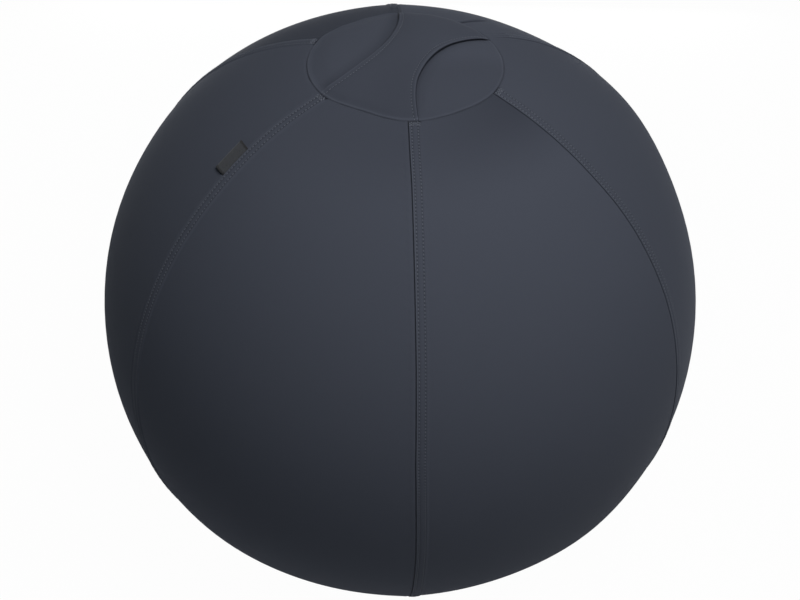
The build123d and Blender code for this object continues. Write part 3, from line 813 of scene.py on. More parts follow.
def gore_relief(from_first, from_last, along, from_top, from_base, zip_share, gaps, ring_gap, head, seed):
    """Height of a gore's cloth over its smooth surface, and its fold shade: painted shade in its folds, seams,
    needle holes and dents, and a painted highlight on its band's crest.
    """
    holes = 0.5 + 0.5 * np.cos(2 * pi * along / STITCH_PITCH)
    stitched = PULL_DEPTH + HOLE_DEPTH * holes
    band = FELL_HEIGHT * (1 - ease(from_first, *BAND_SLOPE)) - ridge(from_first, BAND_DIP)
    pull = sum(hump(from_first, row, PULL_WIDTH) for row in STITCH_ROWS)
    first = band + ridge(from_first, BAND_PUFF) - pull * stitched
    first = first * head - gaps[0] * head * FOLD_DEPTH * (1 - rounded(from_first, FOLD_ROUND))
    last = -gaps[1] * TUCK_DEPTH * np.clip(1 - from_last / TUCK_WIDTH, 0, 1) ** 2
    last = last + ridge(from_last, LAST_ROLL)
    zipped = -FOLD_DEPTH * (1 - rounded(from_last, FOLD_ROUND))
    zipped = zipped - hump(from_last, STITCH_ROWS[0], PULL_WIDTH) * stitched
    last = last + zip_share * (zipped - last)
    nearest = np.minimum(from_first, from_last)
    pucker = ripples(along, nearest, seed) * ridge(from_first, FIRST_PUCKER)
    pucker = pucker + ripples(along, nearest, seed + 1.7) * ridge(from_last, LAST_PUCKER)
    height = first + last + pucker
    # Painted shade in the folded edge, the tucked edge, the needle holes, the rings and the dents, and a
    # painted highlight on the band's crest
    crest = CREST_PALE * min(1, 2 * gaps[0]) * head
    shade = gaps[0] * head * FOLD_DARK * hump(from_first, 0, FOLD_LINE)
    shade = shade - crest * hump(from_first, CREST_AT, CREST_LINE)
    shade = shade + gaps[1] * TUCK_DARK * hump(np.maximum(from_last, 0), 0, TUCK_LINE)
    shade = shade + HOLE_DARK * pull * head * holes**2
    for from_ring, gap in ((from_top, ring_gap), (from_base, 1)):
        height = height - gap * RING_DIP * np.clip(1 - from_ring / RING_TUCK, 0, 1) ** 2
        shade = shade + gap * RING_DARK * hump(from_ring, 0, RING_LINE)
    across = np.minimum(from_first, DENT_LIMIT)
    dents = 0.35 + 0.65 * np.cos(pi * (across - DENT_START) / DENT_PITCH) ** 2
    dents = dents * hump(from_top, DENT_AT, DENT_WIDTH) * (1 - ease(across, *DENT_REACH)) * head
    return height - DENT_DEPTH * dents, np.clip(shade + DENT_DARK * dents, PALEST, GORE_DARKEST)


# Gathers by the ring: height, distance from the ring and width
GATHERS = (0.14 * MM, 5 * MM, 9 * MM)
# Slack of the cloth: height, and the distance from the seams over which it comes in
SLACK_HEIGHT = 0.25 * MM
SLACK_REACH = 60 * MM


def gore_surface(index):
    """Grids of a gore: outer and inner points, cut, fold shade of painted shade and painted highlight, ways out
    of it and lengths along its seam.
    """
    middle = FRONT + index * STEP
    zipped_first = index == ZIP_GORE + 1
    zipped_last = index == ZIP_GORE
    share = np.linspace(0, 1, GORE_ROWS)
    shares = PLEAT_SHARES if index == PLEAT_GORE else MIDDLE_SHARES
    turn, from_first, from_last = gore_columns(share, zipped_first, zipped_last, shares)
    top = ring_polar(ring_radius(middle + turn), turn)
    base = pi - ring_polar(BASE_RING, turn)
    polar = top + share[:, None] * (base - top)
    along = share[:, None] * SEAM_LENGTH * np.ones_like(turn)
    opened = slot_offset(polar) / SLOT_HALF if zipped_last else np.zeros_like(polar)
    from_top = (polar - top) * MID_RADIUS
    head = ease(from_top, 0, REAR_HEAD) if index in REAR_SEAMS else np.ones_like(polar)
    from_base = (base - polar) * MID_RADIUS
    gaps = (SEAM_GAPS[index], SEAM_GAPS[(index + 1) % GORES])
    height, shade = gore_relief(
        from_first, from_last, along, from_top, from_base, opened, gaps, RING_GAPS[index], head, 1.3 * index
    )
    height = height + ridge(from_top, GATHERS) * np.sin(turn * 44 + index) * np.cos(turn * 23 + 2 * index)
    slack = np.sin(polar * 9.0 + 2.1 * index) * np.cos(turn * 5.0 + index)
    height = height + SLACK_HEIGHT * slack * ease(np.minimum(from_first, from_last), 0.0, SLACK_REACH)
    height = height + swell(index, turn, polar)
    if index == PLEAT_GORE:
        beside = (turn - turn[:, PLEAT_COLUMN : PLEAT_COLUMN + 1]) * MID_RADIUS * np.sin(polar)
        fade = 1 - ease(from_top, 0.5 * PLEAT_LENGTH, PLEAT_LENGTH)
        pleat = hump(beside, 0, PLEAT_WIDTH) * fade
        roll = hump(beside, 2 * PLEAT_WIDTH, PLEAT_WIDTH) * fade
        height = height + 0.5 * PLEAT_DEPTH * roll - PLEAT_DEPTH * pleat
        # Painted shade in the pleat's crease
        shade = np.clip(shade + PLEAT_DARK * pleat, PALEST, GORE_DARKEST)
    # Painted shade on the upper half of some gores, and more just below the ring
    shade = shade + GORE_PAINTED_SHADES[index] * (1 - ease(polar, *GORE_PAINTED_SHADE_REACH))
    lean = RING_SHADES[index] * (1 + RING_SHADE_LEAN * turn / HALF)
    shade = np.clip(shade + lean * (1 - ease(from_top, *RING_SHADE_REACH)), PALEST, GORE_DARKEST)
    outer, out = gore_point(middle, turn, polar, height)
    inner, _ = gore_point(middle, turn, polar, np.minimum(-CLOTH, height - 0.4 * MM))
    cut = np.stack([turn * seam_reach(MID_RADIUS * np.sin(polar), turn), polar * MID_RADIUS], axis=-1)
    return {"outer": outer, "inner": inner, "cut": cut, "shade": shade, "out": out, "along": along}


gores = [gore_surface(index) for index in range(GORES)]
for index, gore in enumerate(gores):
    piece = cloth_piece(
        f"gore_cloth_{index + 1}", gore["outer"], gore["inner"], gore["cut"], gore["shade"], CLOTH_FINISH
    )
    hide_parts(f"gore_panel_{index + 1}")
    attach(piece, "ball")


# Two rows of stitches on each folded band, and one more row on the zip's other side,
# and how far they stand proud of the cloth
STITCH_LIFT = 0.12 * MM


def nearest_column(columns, distance):
    """Number of the column that lies nearest to a distance from the edge."""
    return int(np.argmin(np.abs(columns - distance)))


def stitch_line(surface, rows, column):
    """Stitch places and outward ways down one column of a cloth's grid."""
    out = surface["out"][rows, column]
    return surface["outer"][rows, column] + out * STITCH_LIFT, out


# Bar tacks, except on the rear seams' flat heads: distances along the band from the ring,
# and the stitches, pitch and half width of their zigzag
TACK_ROWS = (2.8 * MM, 5.2 * MM)
TACK_STITCHES = 7
TACK_PITCH = 1.5 * MM
TACK_HALF = 0.7 * MM


def tack_line(surface, along):
    """Zigzag of a bar tack across a folded band, at a distance along it from the crown's ring."""
    step = np.arange(TACK_STITCHES)
    column = np.interp((step + 0.9) * TACK_PITCH, FIRST_COLUMNS, np.arange(len(FIRST_COLUMNS)))
    row = (along + TACK_HALF * (-1.0) ** step) / SEAM_LENGTH * (GORE_ROWS - 1)
    low_row, low_column = row.astype(int), column.astype(int)

    def between(grid):
        side = (column - low_column)[:, None]
        near = grid[low_row, low_column] * (1 - side) + grid[low_row, low_column + 1] * side
        far = grid[low_row + 1, low_column] * (1 - side) + grid[low_row + 1, low_column + 1] * side
        return near + (far - near) * (row - low_row)[:, None]

    out = between(surface["out"])
    return between(surface["outer"]) + out * STITCH_LIFT, out


for index, gore in enumerate(gores):
    middles = np.arange(1, GORE_ROWS, 2)
    if index in REAR_SEAMS:
        middles = middles[gore["along"][middles, 0] > REAR_HEAD]
    lines = [stitch_line(gore, middles, nearest_column(FIRST_COLUMNS, row)) for row in STITCH_ROWS]
    if index == ZIP_GORE:
        first_of_last = gore["outer"].shape[1] - len(LAST_COLUMNS)
        column = first_of_last + nearest_column(LAST_COLUMNS, STITCH_ROWS[0])
        polars = np.linspace(ring_polar(RING, HALF), pi - ring_polar(BASE_RING, HALF), GORE_ROWS)[middles]
        beside_zip = middles[slot_offset(polars) > 0.9 * SLOT_HALF]
        lines.append(stitch_line(gore, beside_zip, column))
    if index not in REAR_SEAMS:
        lines += [tack_line(gore, along) for along in TACK_ROWS]
    sewing = stitches(f"seam_stitches_{index + 1}", lines, index)
    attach(sewing, "ball")


# Handle and crown share these shapes, seen from above
SIDE_SAG = HANDLE_HALF - HANDLE_WAIST_HALF
HANDLE_CORNER = sqrt(RING**2 - HANDLE_HALF**2)
SIDE_RADIUS = (HANDLE_CORNER**2 + SIDE_SAG**2) / (2 * SIDE_SAG)
# Past this distance from its middle, squared, the handle grows no wider
SIDE_REACH_SQUARED = 0.0115

# The front foot is sewn in a little wider and further to the right
FOOT_START = 35 * MM
FOOT_SPREAD = 2.2 * MM
FOOT_SHIFT = 4.2 * MM

# The left edge is drawn in beside the grip, by an amount at a place along Y and over a width,
# and the rear right corner is sewn in further out
LEFT_DRAW = (4.2 * MM, -15 * MM, 60 * MM)
CORNER_SPREAD = 4.4 * MM


def foot_share(from_middle):
    """How far a foot's spread and shift have come at a distance from the handle's middle."""
    return np.clip((from_middle - FOOT_START) / (HANDLE_CORNER - FOOT_START), 0, 1.2) ** 1.5


def handle_side(y):
    """Half the handle's width at a place along it."""
    even = SIDE_RADIUS - np.sqrt(SIDE_RADIUS**2 - np.minimum(y**2, SIDE_REACH_SQUARED))
    drawn = (CORNER_SPREAD * foot_share(y) - ridge(y, LEFT_DRAW)) / 2
    return HANDLE_WAIST_HALF + even + FOOT_SPREAD * foot_share(-y) + drawn


def handle_middle(y):
    """Where the handle's middle line lies at a place along it."""
    return FOOT_SHIFT * foot_share(-y) + (CORNER_SPREAD * foot_share(y) + ridge(y, LEFT_DRAW)) / 2


def dome_point(x, y, height, up=1):
    """A point at a height over the ball's smooth dome, or under its round bottom where up is -1."""
    x, y, height = np.broadcast_arrays(x, y, height)
    z = up * np.sqrt(MID_RADIUS**2 - x**2 - y**2)
    out = np.stack([x, y, z], axis=-1) / MID_RADIUS
    return np.array(CENTRE) + out * (MID_RADIUS + height)[..., None]


# The crown's ridges by its rim: height, distance from the rim and width. How far it swells beside the handle,
# and how far it turns under at the rim
CROWN_WAVE = (0.18 * MM, 2 * MM, 6 * MM)
CROWN_RIM = (0.5 * MM, 2.0 * MM, 2.0 * MM)
CROWN_SWELL = 1.7 * MM
CROWN_TURN = 0.7 * MM
# Painted shade on the crown: in the valley left and right of the handle, standing in for its shadow, along its
# rim and more so at the left, under the handle, and at the front right
VALLEY_WIDTHS = (18 * MM, 5 * MM)
VALLEY_DARKS = (0.32, 0.16)
RIM_DARK = 0.12
RIM_DARK_LEFT = 0.3
UNDER_DARK = 0.75
CROWN_FRONT_PAINTED_SHADE = 0.14


def crown_relief(x, y):
    """Height of the crown's cloth, and its painted shade and painted highlight.
    It swells on both sides of the handle and turns under at its rim."""
    turn = np.arctan2(y, x)
    from_rim = ring_radius(turn) - np.hypot(x, y)
    beside = x - handle_middle(y)
    outside = np.abs(beside) - handle_side(y)
    under = 1 - ease(outside, -5 * MM, 1 * MM)
    wave = np.sin(turn * 23) * ridge(from_rim, CROWN_WAVE)
    swelling = CROWN_SWELL * ease(outside, -1 * MM, 12 * MM) * ease(from_rim, 0, 24 * MM)
    rim = ridge(from_rim, CROWN_RIM) * (1 - under)
    height = rim + swelling + wave - CROWN_TURN * (1 - rounded(from_rim, 1.0 * MM))
    # Painted shade in the valleys beside the handle, under it, along the rim and at the front right, and a
    # painted highlight just inside the rim
    valley = 1 - ease(outside, 0, np.where(beside < 0, *VALLEY_WIDTHS))
    valley = valley * np.where(beside < 0, *VALLEY_DARKS)
    line = RIM_DARK + RIM_DARK_LEFT * ease(-x, 55 * MM, 85 * MM)
    shade = line * hump(from_rim, 0, 0.35 * MM) - 0.15 * hump(from_rim, 1.6 * MM, 0.8 * MM)
    shade = shade + np.maximum(UNDER_DARK * under, valley) * ease(from_rim, 0, 12 * MM)
    shade = shade + CROWN_FRONT_PAINTED_SHADE * ease(x - y, 10 * MM, 60 * MM) * (1 - under)
    return height, np.clip(shade, PALEST, CROWN_DARKEST)


def disc_grid(ring_at, columns, steps):
    """Level x and y of rows round a ring, from its rim inwards. ring_at gives the ring's radius at a turn."""
    turn = np.linspace(0, 2 * pi, columns, endpoint=False)[None, :]
    ring = ring_at(turn)
    radius = ring * (1 - steps[:, None] / np.max(ring))
    return radius * np.cos(turn), radius * np.sin(turn)


# Rows of a round panel, from its rim inwards: close together at first,
# and then evenly to just short of its middle
RIM_STEPS = np.array([0, 0.12, 0.35, 0.7, 1.2, 1.9, 2.7, 3.6, 4.8, 6.5]) * MM
EVEN_START = 8.5 * MM
MIDDLE_HOLE = 0.004 * MM


def panel_steps(ring, rows):
    """Distances from a round panel's rim to its rows."""
    return np.concatenate([RIM_STEPS, np.linspace(EVEN_START, ring - MIDDLE_HOLE, rows)])


def round_panel(name, upper, lower, x, y, shade):
    """Closed cloth of a round panel from its upper and lower points, with those at its middle merged."""
    piece = cloth_piece(name, upper, lower, np.stack([x, y], axis=-1), shade, CLOTH_FINISH, loop=True)
    work = bmesh.new()
    work.from_mesh(piece.data)
    bmesh.ops.remove_doubles(work, verts=work.verts, dist=5 * MIDDLE_HOLE)
    work.to_mesh(piece.data)
    work.free()
    return piece


crown_x, crown_y = disc_grid(ring_radius, 264, panel_steps(RING, 38))
crown_height, crown_shade = crown_relief(crown_x, crown_y)
crown_outer = dome_point(crown_x, crown_y, crown_height)
crown_inner = dome_point(crown_x, crown_y, np.minimum(-CLOTH, crown_height - 0.1 * MM))
crown = round_panel("crown_cloth", crown_outer, crown_inner, crown_x, crown_y, crown_shade)
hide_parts("crown_panel")
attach(crown, "ball")


# Base: the same cloth, sewn in round its rim and pressed flat on the floor
BASE_ROLL = (0.5 * MM, 2.2 * MM, 2.6 * MM)
BASE_TURN = 2.2 * MM
base_x, base_y = disc_grid(lambda turn: np.full_like(turn, BASE_RING), 200, panel_steps(BASE_RING, 30))
base_rim = BASE_RING - np.hypot(base_x, base_y)
base_height = ridge(base_rim, BASE_ROLL) - BASE_TURN * (1 - rounded(base_rim, 1.3 * MM))
# The floor presses both faces of the cloth flat
base_outer = dome_point(base_x, base_y, base_height, up=-1)
base_outer[..., 2] = np.maximum(base_outer[..., 2], 0)
base_inner = dome_point(base_x, base_y, np.minimum(-CLOTH, base_height - CLOTH), up=-1)
base_inner[..., 2] = np.maximum(base_inner[..., 2], CLOTH)
# Painted shade in the groove round the base's rim
base_shade = 0.8 * hump(base_rim, 0, 0.5 * MM)
base = round_panel("base_cloth", base_inner, base_outer, base_x, base_y, base_shade)
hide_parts("base_panel")
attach(base, "ball")


# Carry handle, in three stretches: its middle lifts, and its ends are sewn into the crown's ring
EDGE_COLUMNS = np.array([0, 0.12, 0.35, 0.7, 1.2, 1.9, 2.7, 3.6, 4.4, 5.0, 5.6, 6.3, 7.0, 7.8, 9.5]) * MM
HANDLE_MIDDLE_COLUMNS = 20
HEM_ROW = 5.6 * MM
# How far the handle's edges dip below its middle line at the top of the arch, and how far its middle lies
# below the solid's top without the height of its ends
EDGE_DIP = 3.2 * MM
ARCH_DROP = 5.0 * MM
# Where its edges lie closer to the crown behind the grip, and gape in front of it: height, place and width
REAR_GAPE = (-1.0 * MM, 46 * MM, 20 * MM)
FRONT_GAPE = (0.8 * MM, -50 * MM, 30 * MM)
# Roll and waves at its sewn ends, and dip beside its hem: height, distance and width
END_ROLL = (0.4 * MM, 2.0 * MM, 1.8 * MM)
HEM_DIP = (0.25 * MM, 6 * MM, 2 * MM)
HANDLE_WAVE = (0.15 * MM, 4 * MM, 8 * MM)
HEM_LIFT = 0.4 * MM
HEM_WIDTH = 6.5 * MM
# Painted shade on it: overall, more at the front right, in the hem's stitches, along its edges
# and at its ends, and painted highlight beside the edges and ends
HANDLE_PAINTED_SHADE = 0.11
HANDLE_FRONT_PAINTED_SHADE = 0.11
HEM_DARK = 0.25
EDGE_DARK, EDGE_PALE = 0.85, 0.25
END_DARK, END_PALE = 0.12, 0.3


def handle_end(share, end):
    """How far along Y a lengthwise line of the handle meets the ring, at its front or rear end."""
    y = np.full_like(share, HANDLE_CORNER)
    for _ in range(30):
        x = handle_middle(end * y) + share * handle_side(end * y)
        y = (y + np.sqrt(ring_radius(np.arctan2(end * y, x)) ** 2 - x**2)) / 2
    return y


def handle_relief(x, y, from_edge, share, end):
    """Height of the handle's cloth over the crown's dome, its fold shade of painted shade and painted
    highlight, and the distance from its sewn end.
    It is arched between its ends and cupped at its hemmed edges."""
    reach = np.clip(np.abs(y) / end, 0, 1)
    arch = 1 - reach**2
    from_end = end - np.abs(y)
    height = (0.3 + 1.6 * ease(from_end, 0, 10 * MM)) * MM + (HANDLE_TOP - ARCH_DROP) * arch
    gape = (ridge(y, REAR_GAPE) + ridge(y, FRONT_GAPE)) * ease(from_end, 3 * MM, 8 * MM)
    height = height + (gape - EDGE_DIP * arch) * share**2 + ridge(from_end, END_ROLL)
    hem = HEM_LIFT * np.clip(1 - from_edge / HEM_WIDTH, 0, 1) ** 2 - ridge(from_edge, HEM_DIP)
    row = hump(from_edge, HEM_ROW, 0.7 * MM) * (0.26 + 0.16 * np.cos(2 * pi * y / STITCH_PITCH)) * MM
    wave = np.sin(x * 260) * ridge(from_end, HANDLE_WAVE)
    height = height + hem - row + wave
    # Painted shade overall, at the front right, along the hem's stitches, the edges and the ends, and painted
    # highlights beside the edges and ends
    edge_line = np.where(share > 0, 0.7, 0.25 + 1.0 * ease(y, -25 * MM, 10 * MM)) * MM
    front_painted_shade = HANDLE_FRONT_PAINTED_SHADE * (1 - ease(y, -50 * MM, 40 * MM)) * ease(share, -0.7, 0.6)
    shade = HANDLE_PAINTED_SHADE + front_painted_shade + HEM_DARK * hump(from_edge, HEM_ROW, 0.5 * MM)
    shade = shade + EDGE_DARK * hump(from_edge, 0, edge_line)
    shade = shade - EDGE_PALE * hump(from_edge, edge_line + 1.0 * MM, 0.6 * MM)
    shade = shade + END_DARK * hump(from_end, 0, 0.35 * MM) - END_PALE * hump(from_end, 1.7 * MM, 0.8 * MM)
    return height, shade, from_end


def handle_stretch(name, y_rows, to_ring):
    """Closed cloth of one stretch. Rows at y_rows, or running from the grip's end to the ring."""
    side = handle_side(np.clip(y_rows, -HANDLE_CORNER, HANDLE_CORNER))[:, None]
    edge = 1 - EDGE_COLUMNS[None, :] / side
    inner = edge[:, -1:]
    middle = np.linspace(-1, 1, HANDLE_MIDDLE_COLUMNS + 2)[None, 1:-1] * inner
    share = np.concatenate([-edge, middle, edge[:, ::-1]], axis=1)
    end = handle_end(share, np.where(y_rows < 0, -1, 1)[:, None])
    y = np.broadcast_to(y_rows[:, None], share.shape)
    if to_ring:
        travel = (np.abs(y_rows) - GRIP_END) / (HANDLE_CORNER - GRIP_END)
        y = np.sign(y_rows)[:, None] * (GRIP_END + travel[:, None] * (end - GRIP_END))
    x = handle_middle(y) + share * handle_side(y)
    from_edge = (1 - np.abs(share)) * handle_side(y)
    height, shade, from_end = handle_relief(x, y, from_edge, share, end)
    round_edge = 1 - rounded(from_edge, 1.1 * MM)
    half_cloth = HANDLE_CLOTH / 2
    close_end = (1 - rounded(from_end, 1.0 * MM)) if to_ring else np.zeros_like(x)
    outer = height - half_cloth * round_edge - (height + 0.1 * MM) * close_end
    inner_height = height - HANDLE_CLOTH + half_cloth * round_edge * 0.96
    inner_height = inner_height + (np.minimum(inner_height, -1.5 * MM) - inner_height) * close_end
    outer_points = dome_point(x, y, outer)
    inner_points = dome_point(x, y, np.minimum(inner_height, outer - 0.05 * MM))
    cut = np.stack([x, y], axis=-1)
    shade = np.clip(shade, PALEST, CROWN_DARKEST)
    if y_rows[0] > y_rows[-1]:
        outer_points, inner_points, cut, shade = (
            grid[::-1] for grid in (outer_points, inner_points, cut, shade)
        )
    piece = cloth_piece(name, outer_points, inner_points, cut, shade, CLOTH_FINISH)
    sharpen_ends(piece, outer_points.shape[1])
    return piece, outer_points


def sharpen_ends(piece, columns):
    """Keeps the two ends of a stretch crisp, so that its face runs on smoothly into the next stretch."""
    count = len(piece.data.vertices) // 2
    ends = set(range(columns)) | set(range(count - columns, count))
    for edge in piece.data.edges:
        low, high = sorted(edge.vertices)
        edge.use_edge_sharp = low in ends and high in ends and high - low == 1


def hem_lines(points):
    """The two hems' stitches, at even steps down the edge columns of a stretch."""
    column = nearest_column(EDGE_COLUMNS, HEM_ROW)
    lines = []
    for hem in (points[:, column], points[:, -1 - column]):
        length = lengths_along(hem)[-1]
        count = int(length / STITCH_PITCH)
        line = points_at(hem, (np.arange(count) + 0.5) * length / count)
        out = line - np.array(CENTRE)
        out = out / np.linalg.norm(out, axis=1, keepdims=True)
        lines.append((line + out * STITCH_LIFT, out))
    return lines


# Rows of a flared end, from the grip to the ring, closest at the ring
FLARE_RUN = HANDLE_CORNER - GRIP_END
FLARE_LAST_STEPS = np.array([2.0, 1.3, 0.8, 0.45, 0.2, 0.06, 0]) * MM
FLARE_ROWS = GRIP_END + FLARE_RUN * np.concatenate([np.linspace(0, 0.93, 22), 1 - FLARE_LAST_STEPS / FLARE_RUN])
grip_cloth, grip_points = handle_stretch("handle_grip_cloth", np.linspace(-GRIP_END, GRIP_END, 51), False)
front_cloth, front_points = handle_stretch("handle_front_cloth", -FLARE_ROWS, True)
rear_cloth, rear_points = handle_stretch("handle_rear_cloth", FLARE_ROWS, True)
grip_hem = stitches("handle_grip_stitches", hem_lines(grip_points), 11)
front_hem = stitches("handle_front_stitches", hem_lines(front_points), 12)
rear_hem = stitches("handle_rear_stitches", hem_lines(rear_points), 13)

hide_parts("handle_grip")
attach(grip_cloth, "grip")
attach(grip_hem, "grip")
for flare, hem, node, side in (
    (front_cloth, front_hem, "handle_front_flare", -1),
    (rear_cloth, rear_hem, "handle_rear_flare", 1),
):
    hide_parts(node)
    for piece in (flare, hem):
        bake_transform(piece)


# Woven tab: one length of tape folded in half, its two ends caught in the seam.
# Its section, from the seam out over the gore and back: distance and height, in millimetres
TAB_SECTION = MM * np.array(
    [(-0.4, -1.2), (1.2, 0.6), (3.5, 1.7), (7.5, 2.1), (10.7, 2.2), (13.3, 2.15), (14.5, 1.9), (14.7, 1.45)]
    + [(14.4, 1.0), (13.3, 0.72), (10.7, 0.62), (7.5, 0.6), (3.5, 0.4), (1.2, -0.4), (-0.4, -1.6)]
)
TAB_FOLD = np.max(TAB_SECTION[:, 0])
TAPE_HALF_THICKNESS = 0.24 * MM
# Share by which its two ends stand higher than its middle
TAB_END_LIFT = 0.16


def smooth_line(points, count):
    """Evenly spaced points on a smooth line through the given ones, the ways to its left,
    and the lengths along it."""
    fine = np.linspace(0, len(points) - 1, 12 * len(points))
    low = np.clip(fine.astype(int), 0, len(points) - 2)
    share = (fine - low)[:, None]
    padded = np.concatenate([[2 * points[0] - points[1]], points, [2 * points[-1] - points[-2]]])
    a, b, c, d = (padded[low + step] for step in range(4))
    line = 0.5 * (
        2 * b + (c - a) * share + (2 * a - 5 * b + 4 * c - d) * share**2 + (3 * b - a - 3 * c + d) * share**3
    )
    places = np.linspace(0, lengths_along(line)[-1], count)
    even = points_at(line, places)
    way = np.gradient(even, axis=0)
    way = way / np.linalg.norm(way, axis=1, keepdims=True)
    return even, np.stack([-way[:, 1], way[:, 0]], axis=-1), places


def tab_piece():
    """The folded tab, a little higher towards its ends, which are sealed."""
    section, left, travel = smooth_line(TAB_SECTION, 72)
    length = np.linspace(-0.5, 0.5, 41)[:, None] * TAB_LENGTH
    gore_middle = FRONT + TAB_GORE * STEP
    flare = 1 + TAB_END_LIFT * (2 * length / TAB_LENGTH) ** 4

    def place(offset):
        spot = section + left * offset
        distance = np.broadcast_to(spot[None, :, 0], (len(length), len(section)))
        height = spot[None, :, 1] * np.where(spot[None, :, 1] > 0, flare, 1)
        polar = TAB_POLAR + length / MID_RADIUS + 0 * distance
        reach = seam_reach(MID_RADIUS * np.sin(polar), HALF)
        turn = HALF - np.arcsin(distance / reach)
        return gore_point(gore_middle, turn, polar, height + swell(TAB_GORE, turn, polar))[0]

    cut = np.stack(np.broadcast_arrays(length, travel[None, :]), axis=-1)
    from_end = TAB_LENGTH / 2 - np.abs(length)
    fold = hump(section[None, :, 0], TAB_FOLD, 1.0 * MM)
    seal = 1 - ease(from_end, 1.5 * MM, 2.4 * MM)
    # Its sealed ends darker, and a painted highlight along its fold
    shade = 0.95 * seal - 0.5 * fold * (1 - seal)
    outer, inner = place(TAPE_HALF_THICKNESS), place(-TAPE_HALF_THICKNESS)
    return cloth_piece("woven_tab", outer, inner, cut, shade, TAB_FINISH)


tab = tab_piece()
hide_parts("side_label")
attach(tab, "ball")


# Zip: woven tapes and nylon coils under the opening's two folded edges
ZIP_OUT = Vector((cos(ZIP_ANGLE), sin(ZIP_ANGLE), 0))
ZIP_ACROSS = Vector((sin(ZIP_ANGLE), -cos(ZIP_ANGLE), 0))
# Tapes: rows and columns of their grids, and how far they wave
TAPE_ROWS = 161
TAPE_COLUMNS = 15
TAPE_WAVE = 0.05 * MM
# Coils: distance between their loops, and half thickness of the loops and of the cord inside them
COIL_PITCH = 3.0 * MM
COIL_THREAD = 0.68 * MM
COIL_CORD = 0.5 * MM
COIL_SEED = 3


def zip_point(polar, radius, across):
    """A point beside the zip's seam, at a radius from the ball's centre."""
    polar, radius, across = np.broadcast_arrays(polar, radius, across)
    out = np.sin(polar)[..., None] * np.array(ZIP_OUT) + np.cos(polar)[..., None] * np.array((0, 0, 1))
    return np.array(CENTRE) + out * radius[..., None] + across[..., None] * np.array(ZIP_ACROSS), out


def zip_layer(name):
    """Radii, and distances from the seam's plane, between which a CAD piece of the zip lies."""
    spots = [vertex.co - CENTRE for vertex in frame["nodes"][name].data.vertices]
    across = [spot.dot(ZIP_ACROSS) for spot in spots]
    radius = [(spot - ZIP_ACROSS * step).length for spot, step in zip(spots, across)]
    return min(radius), max(radius), min(across), max(across)


def zip_half(side):
    """A tape and its coil."""
    tape_name, coil_name = f"zip_tape_{side}", f"zip_coil_{side}"
    low, high, near, far = zip_layer(tape_name)
    start, end = node_polars(tape_name)
    polar = np.linspace(start, end, TAPE_ROWS)[:, None]
    across = np.linspace(near, far, TAPE_COLUMNS)[None, :]
    wave = TAPE_WAVE * np.sin(polar * 160) * np.cos(across * 900)
    outer, _ = zip_point(polar, high - TAPE_WAVE + wave, across)
    inner, _ = zip_point(polar, low + 0.02 * MM, across)
    cut = np.stack(np.broadcast_arrays(across, polar * high), axis=-1)
    tape = cloth_piece(f"{tape_name}_weave", outer, inner, cut, np.zeros(outer.shape[:2]), TAPE_FINISH)
    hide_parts(tape_name)
    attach(tape, "ball")

    low, high, near, far = zip_layer(coil_name)
    start, end = node_polars(coil_name)
    middle = (near + far) / 2
    reach = far - near
    pitch = COIL_PITCH / high
    offset = pitch / 2 if middle > 0 else 0.0
    polar = np.arange(start + pitch / 2 + offset, end - pitch / 2, pitch)
    line = zip_point(polar, np.full_like(polar, (low + high) / 2), np.full_like(polar, middle))
    coil = along_lines(
        f"{coil_name}_loops",
        [line],
        COIL_TREE,
        NYLON_FINISH,
        Reach=reach,
        Radius=COIL_THREAD,
        Cord=COIL_CORD,
        Seed=COIL_SEED,
        Nylon=NYLON_FINISH,
    )
    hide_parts(coil_name)
    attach(coil, "ball")
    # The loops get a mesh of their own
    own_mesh(coil)


zip_half("left")
zip_half("right")


# CAD pieces that are seen as they are
for name, finish in (
    ("zip_top_stops", METAL_FINISH),
    ("zip_bottom_stop", METAL_FINISH),
    ("zip_slider", METAL_FINISH),
    ("zip_pull", METAL_FINISH),
    ("inner_ball", VINYL_FINISH),
    ("valve_seat", VINYL_FINISH),
    ("valve_plug", PLASTIC_FINISH),
    ("ballast_pouch", LINING_FINISH),
    ("ballast_grain", SAND_FINISH),
):
    mesh = frame["nodes"][name].data
    mesh.materials.clear()
    mesh.materials.append(finish)


# Studio: white floor and backdrop, a broad lamp from the upper right, a low strip lamp behind,
# and soft fill all round
CAMERA_DISTANCE = 1.934
CAMERA_TURN = radians(26.5)
CAMERA_RISE = radians(40.61)
CAMERA_ROLL = radians(1.30)
CAMERA_LENS = 78.66
CAMERA_SENSOR = 36
WHITE = (1, 1, 1, 1)
FILL_COLOUR = (0.82, 0.95, 1.0, 1)
FILL_STRENGTH = 0.09
FLOOR_COLOUR = (0.62, 0.62, 0.62, 1)
FLOOR_GLOW = 0.98
FLOOR_HALF = 8.0
FLOOR_DROP = 0.3 * MM
# Direction from the ball, distance, width and height in metres, and power in watts
LAMPS = {
    "key_lamp": ((0.355, -0.181, 0.917), 2.4, (1.2, 1.2), 39.0),
    "rear_lamp": ((-0.446, 0.895, -0.165), 1.2, (1.2, 0.2), 4.5),
}


def backdrop_share(tree):
    """1 for the rays that see the backdrop and the floor as white."""
    path = tree.node("ShaderNodeLightPath").outputs
    seen = tree.math("MAXIMUM", path["Is Camera Ray"], path["Is Glossy Ray"])
    return tree.math("MAXIMUM", seen, path["Is Transmission Ray"])


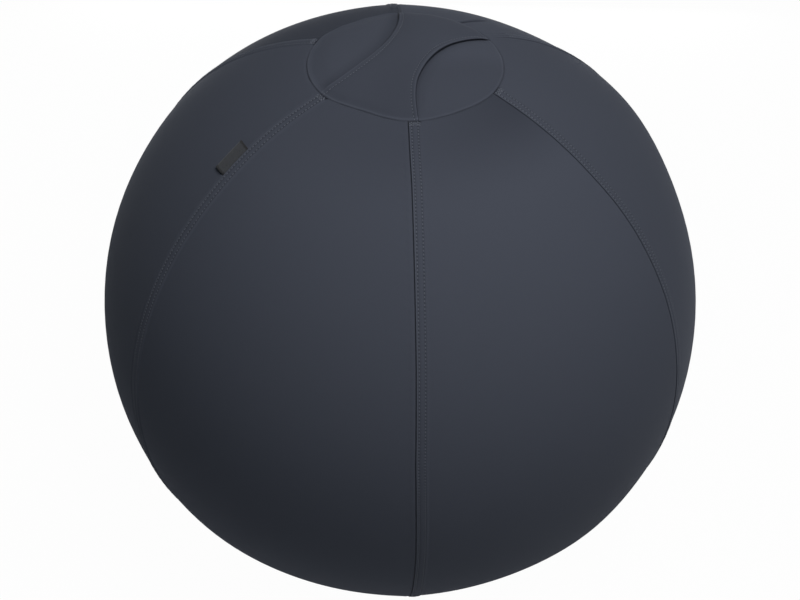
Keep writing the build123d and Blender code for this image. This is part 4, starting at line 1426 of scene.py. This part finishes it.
def studio_world():
    """White to the camera, softer as a light."""
    world = bpy.data.worlds.new("studio")
    bpy.context.scene.world = world
    world.use_nodes = True
    tree = Tree(world.node_tree)
    fill = world.node_tree.nodes["Background"]
    tree.feed(fill.inputs["Color"], FILL_COLOUR)
    tree.feed(fill.inputs["Strength"], FILL_STRENGTH)
    white = tree.node("ShaderNodeBackground", {"Color": WHITE, "Strength": 1.0})
    mix = tree.node("ShaderNodeMixShader", {0: backdrop_share(tree), 1: fill.outputs[0], 2: white.outputs[0]})
    tree.feed(world.node_tree.nodes["World Output"].inputs[0], mix.outputs[0])


def studio_floor():
    """A pale floor that is white to the camera and keeps a faint shadow."""
    finish = Finish("studio_floor", FLOOR_COLOUR, 0.9, Specular_IOR_Level=0.0)
    glow = finish.node("ShaderNodeEmission", {"Color": WHITE, "Strength": 1.0})
    share = finish.math("MULTIPLY", backdrop_share(finish), FLOOR_GLOW)
    mix = finish.node("ShaderNodeMixShader", {0: share, 1: finish.shader.outputs[0], 2: glow.outputs[0]})
    finish.feed(finish.tree.nodes["Material Output"].inputs[0], mix.outputs[0])
    mesh = bpy.data.meshes.new("studio_floor")
    sides = ((-1, -1), (1, -1), (1, 1), (-1, 1))
    corners = [(FLOOR_HALF * x, FLOOR_HALF * y, -FLOOR_DROP) for x, y in sides]
    mesh.from_pydata(corners, [], [(0, 1, 2, 3)])
    new_object("studio_floor", mesh, finish.material)


def lamp(name, toward, distance, size, power):
    """A soft lamp of a width and a height, in a direction from the ball, facing it."""
    light = bpy.data.lights.new(name, "AREA")
    light.shape = "RECTANGLE"
    light.size, light.size_y = size
    light.energy = power
    holder = bpy.data.objects.new(name, light)
    bpy.context.scene.collection.objects.link(holder)
    direction = Vector(toward).normalized()
    holder.location = CENTRE + direction * distance
    holder.rotation_euler = direction.to_track_quat("Z", "Y").to_euler()
    holder.visible_camera = False


def studio_camera():
    """The camera at the photograph's angle."""
    level = Vector((sin(CAMERA_TURN), -cos(CAMERA_TURN), 0))
    back = level * cos(CAMERA_RISE) + Vector((0, 0, sin(CAMERA_RISE)))
    data = bpy.data.cameras.new("camera")
    data.lens = CAMERA_LENS
    data.sensor_width = CAMERA_SENSOR
    holder = bpy.data.objects.new("camera", data)
    bpy.context.scene.collection.objects.link(holder)
    roll = Matrix.Rotation(CAMERA_ROLL, 4, "Z")
    turn = (-back).to_track_quat("-Z", "Y").to_matrix().to_4x4()
    holder.matrix_world = Matrix.Translation(CENTRE + back * CAMERA_DISTANCE) @ turn @ roll
    bpy.context.scene.camera = holder


studio_world()
studio_floor()
studio_camera()
for name, settings in LAMPS.items():
    lamp(name, *settings)
bpy.context.scene.view_settings.view_transform = "Standard"
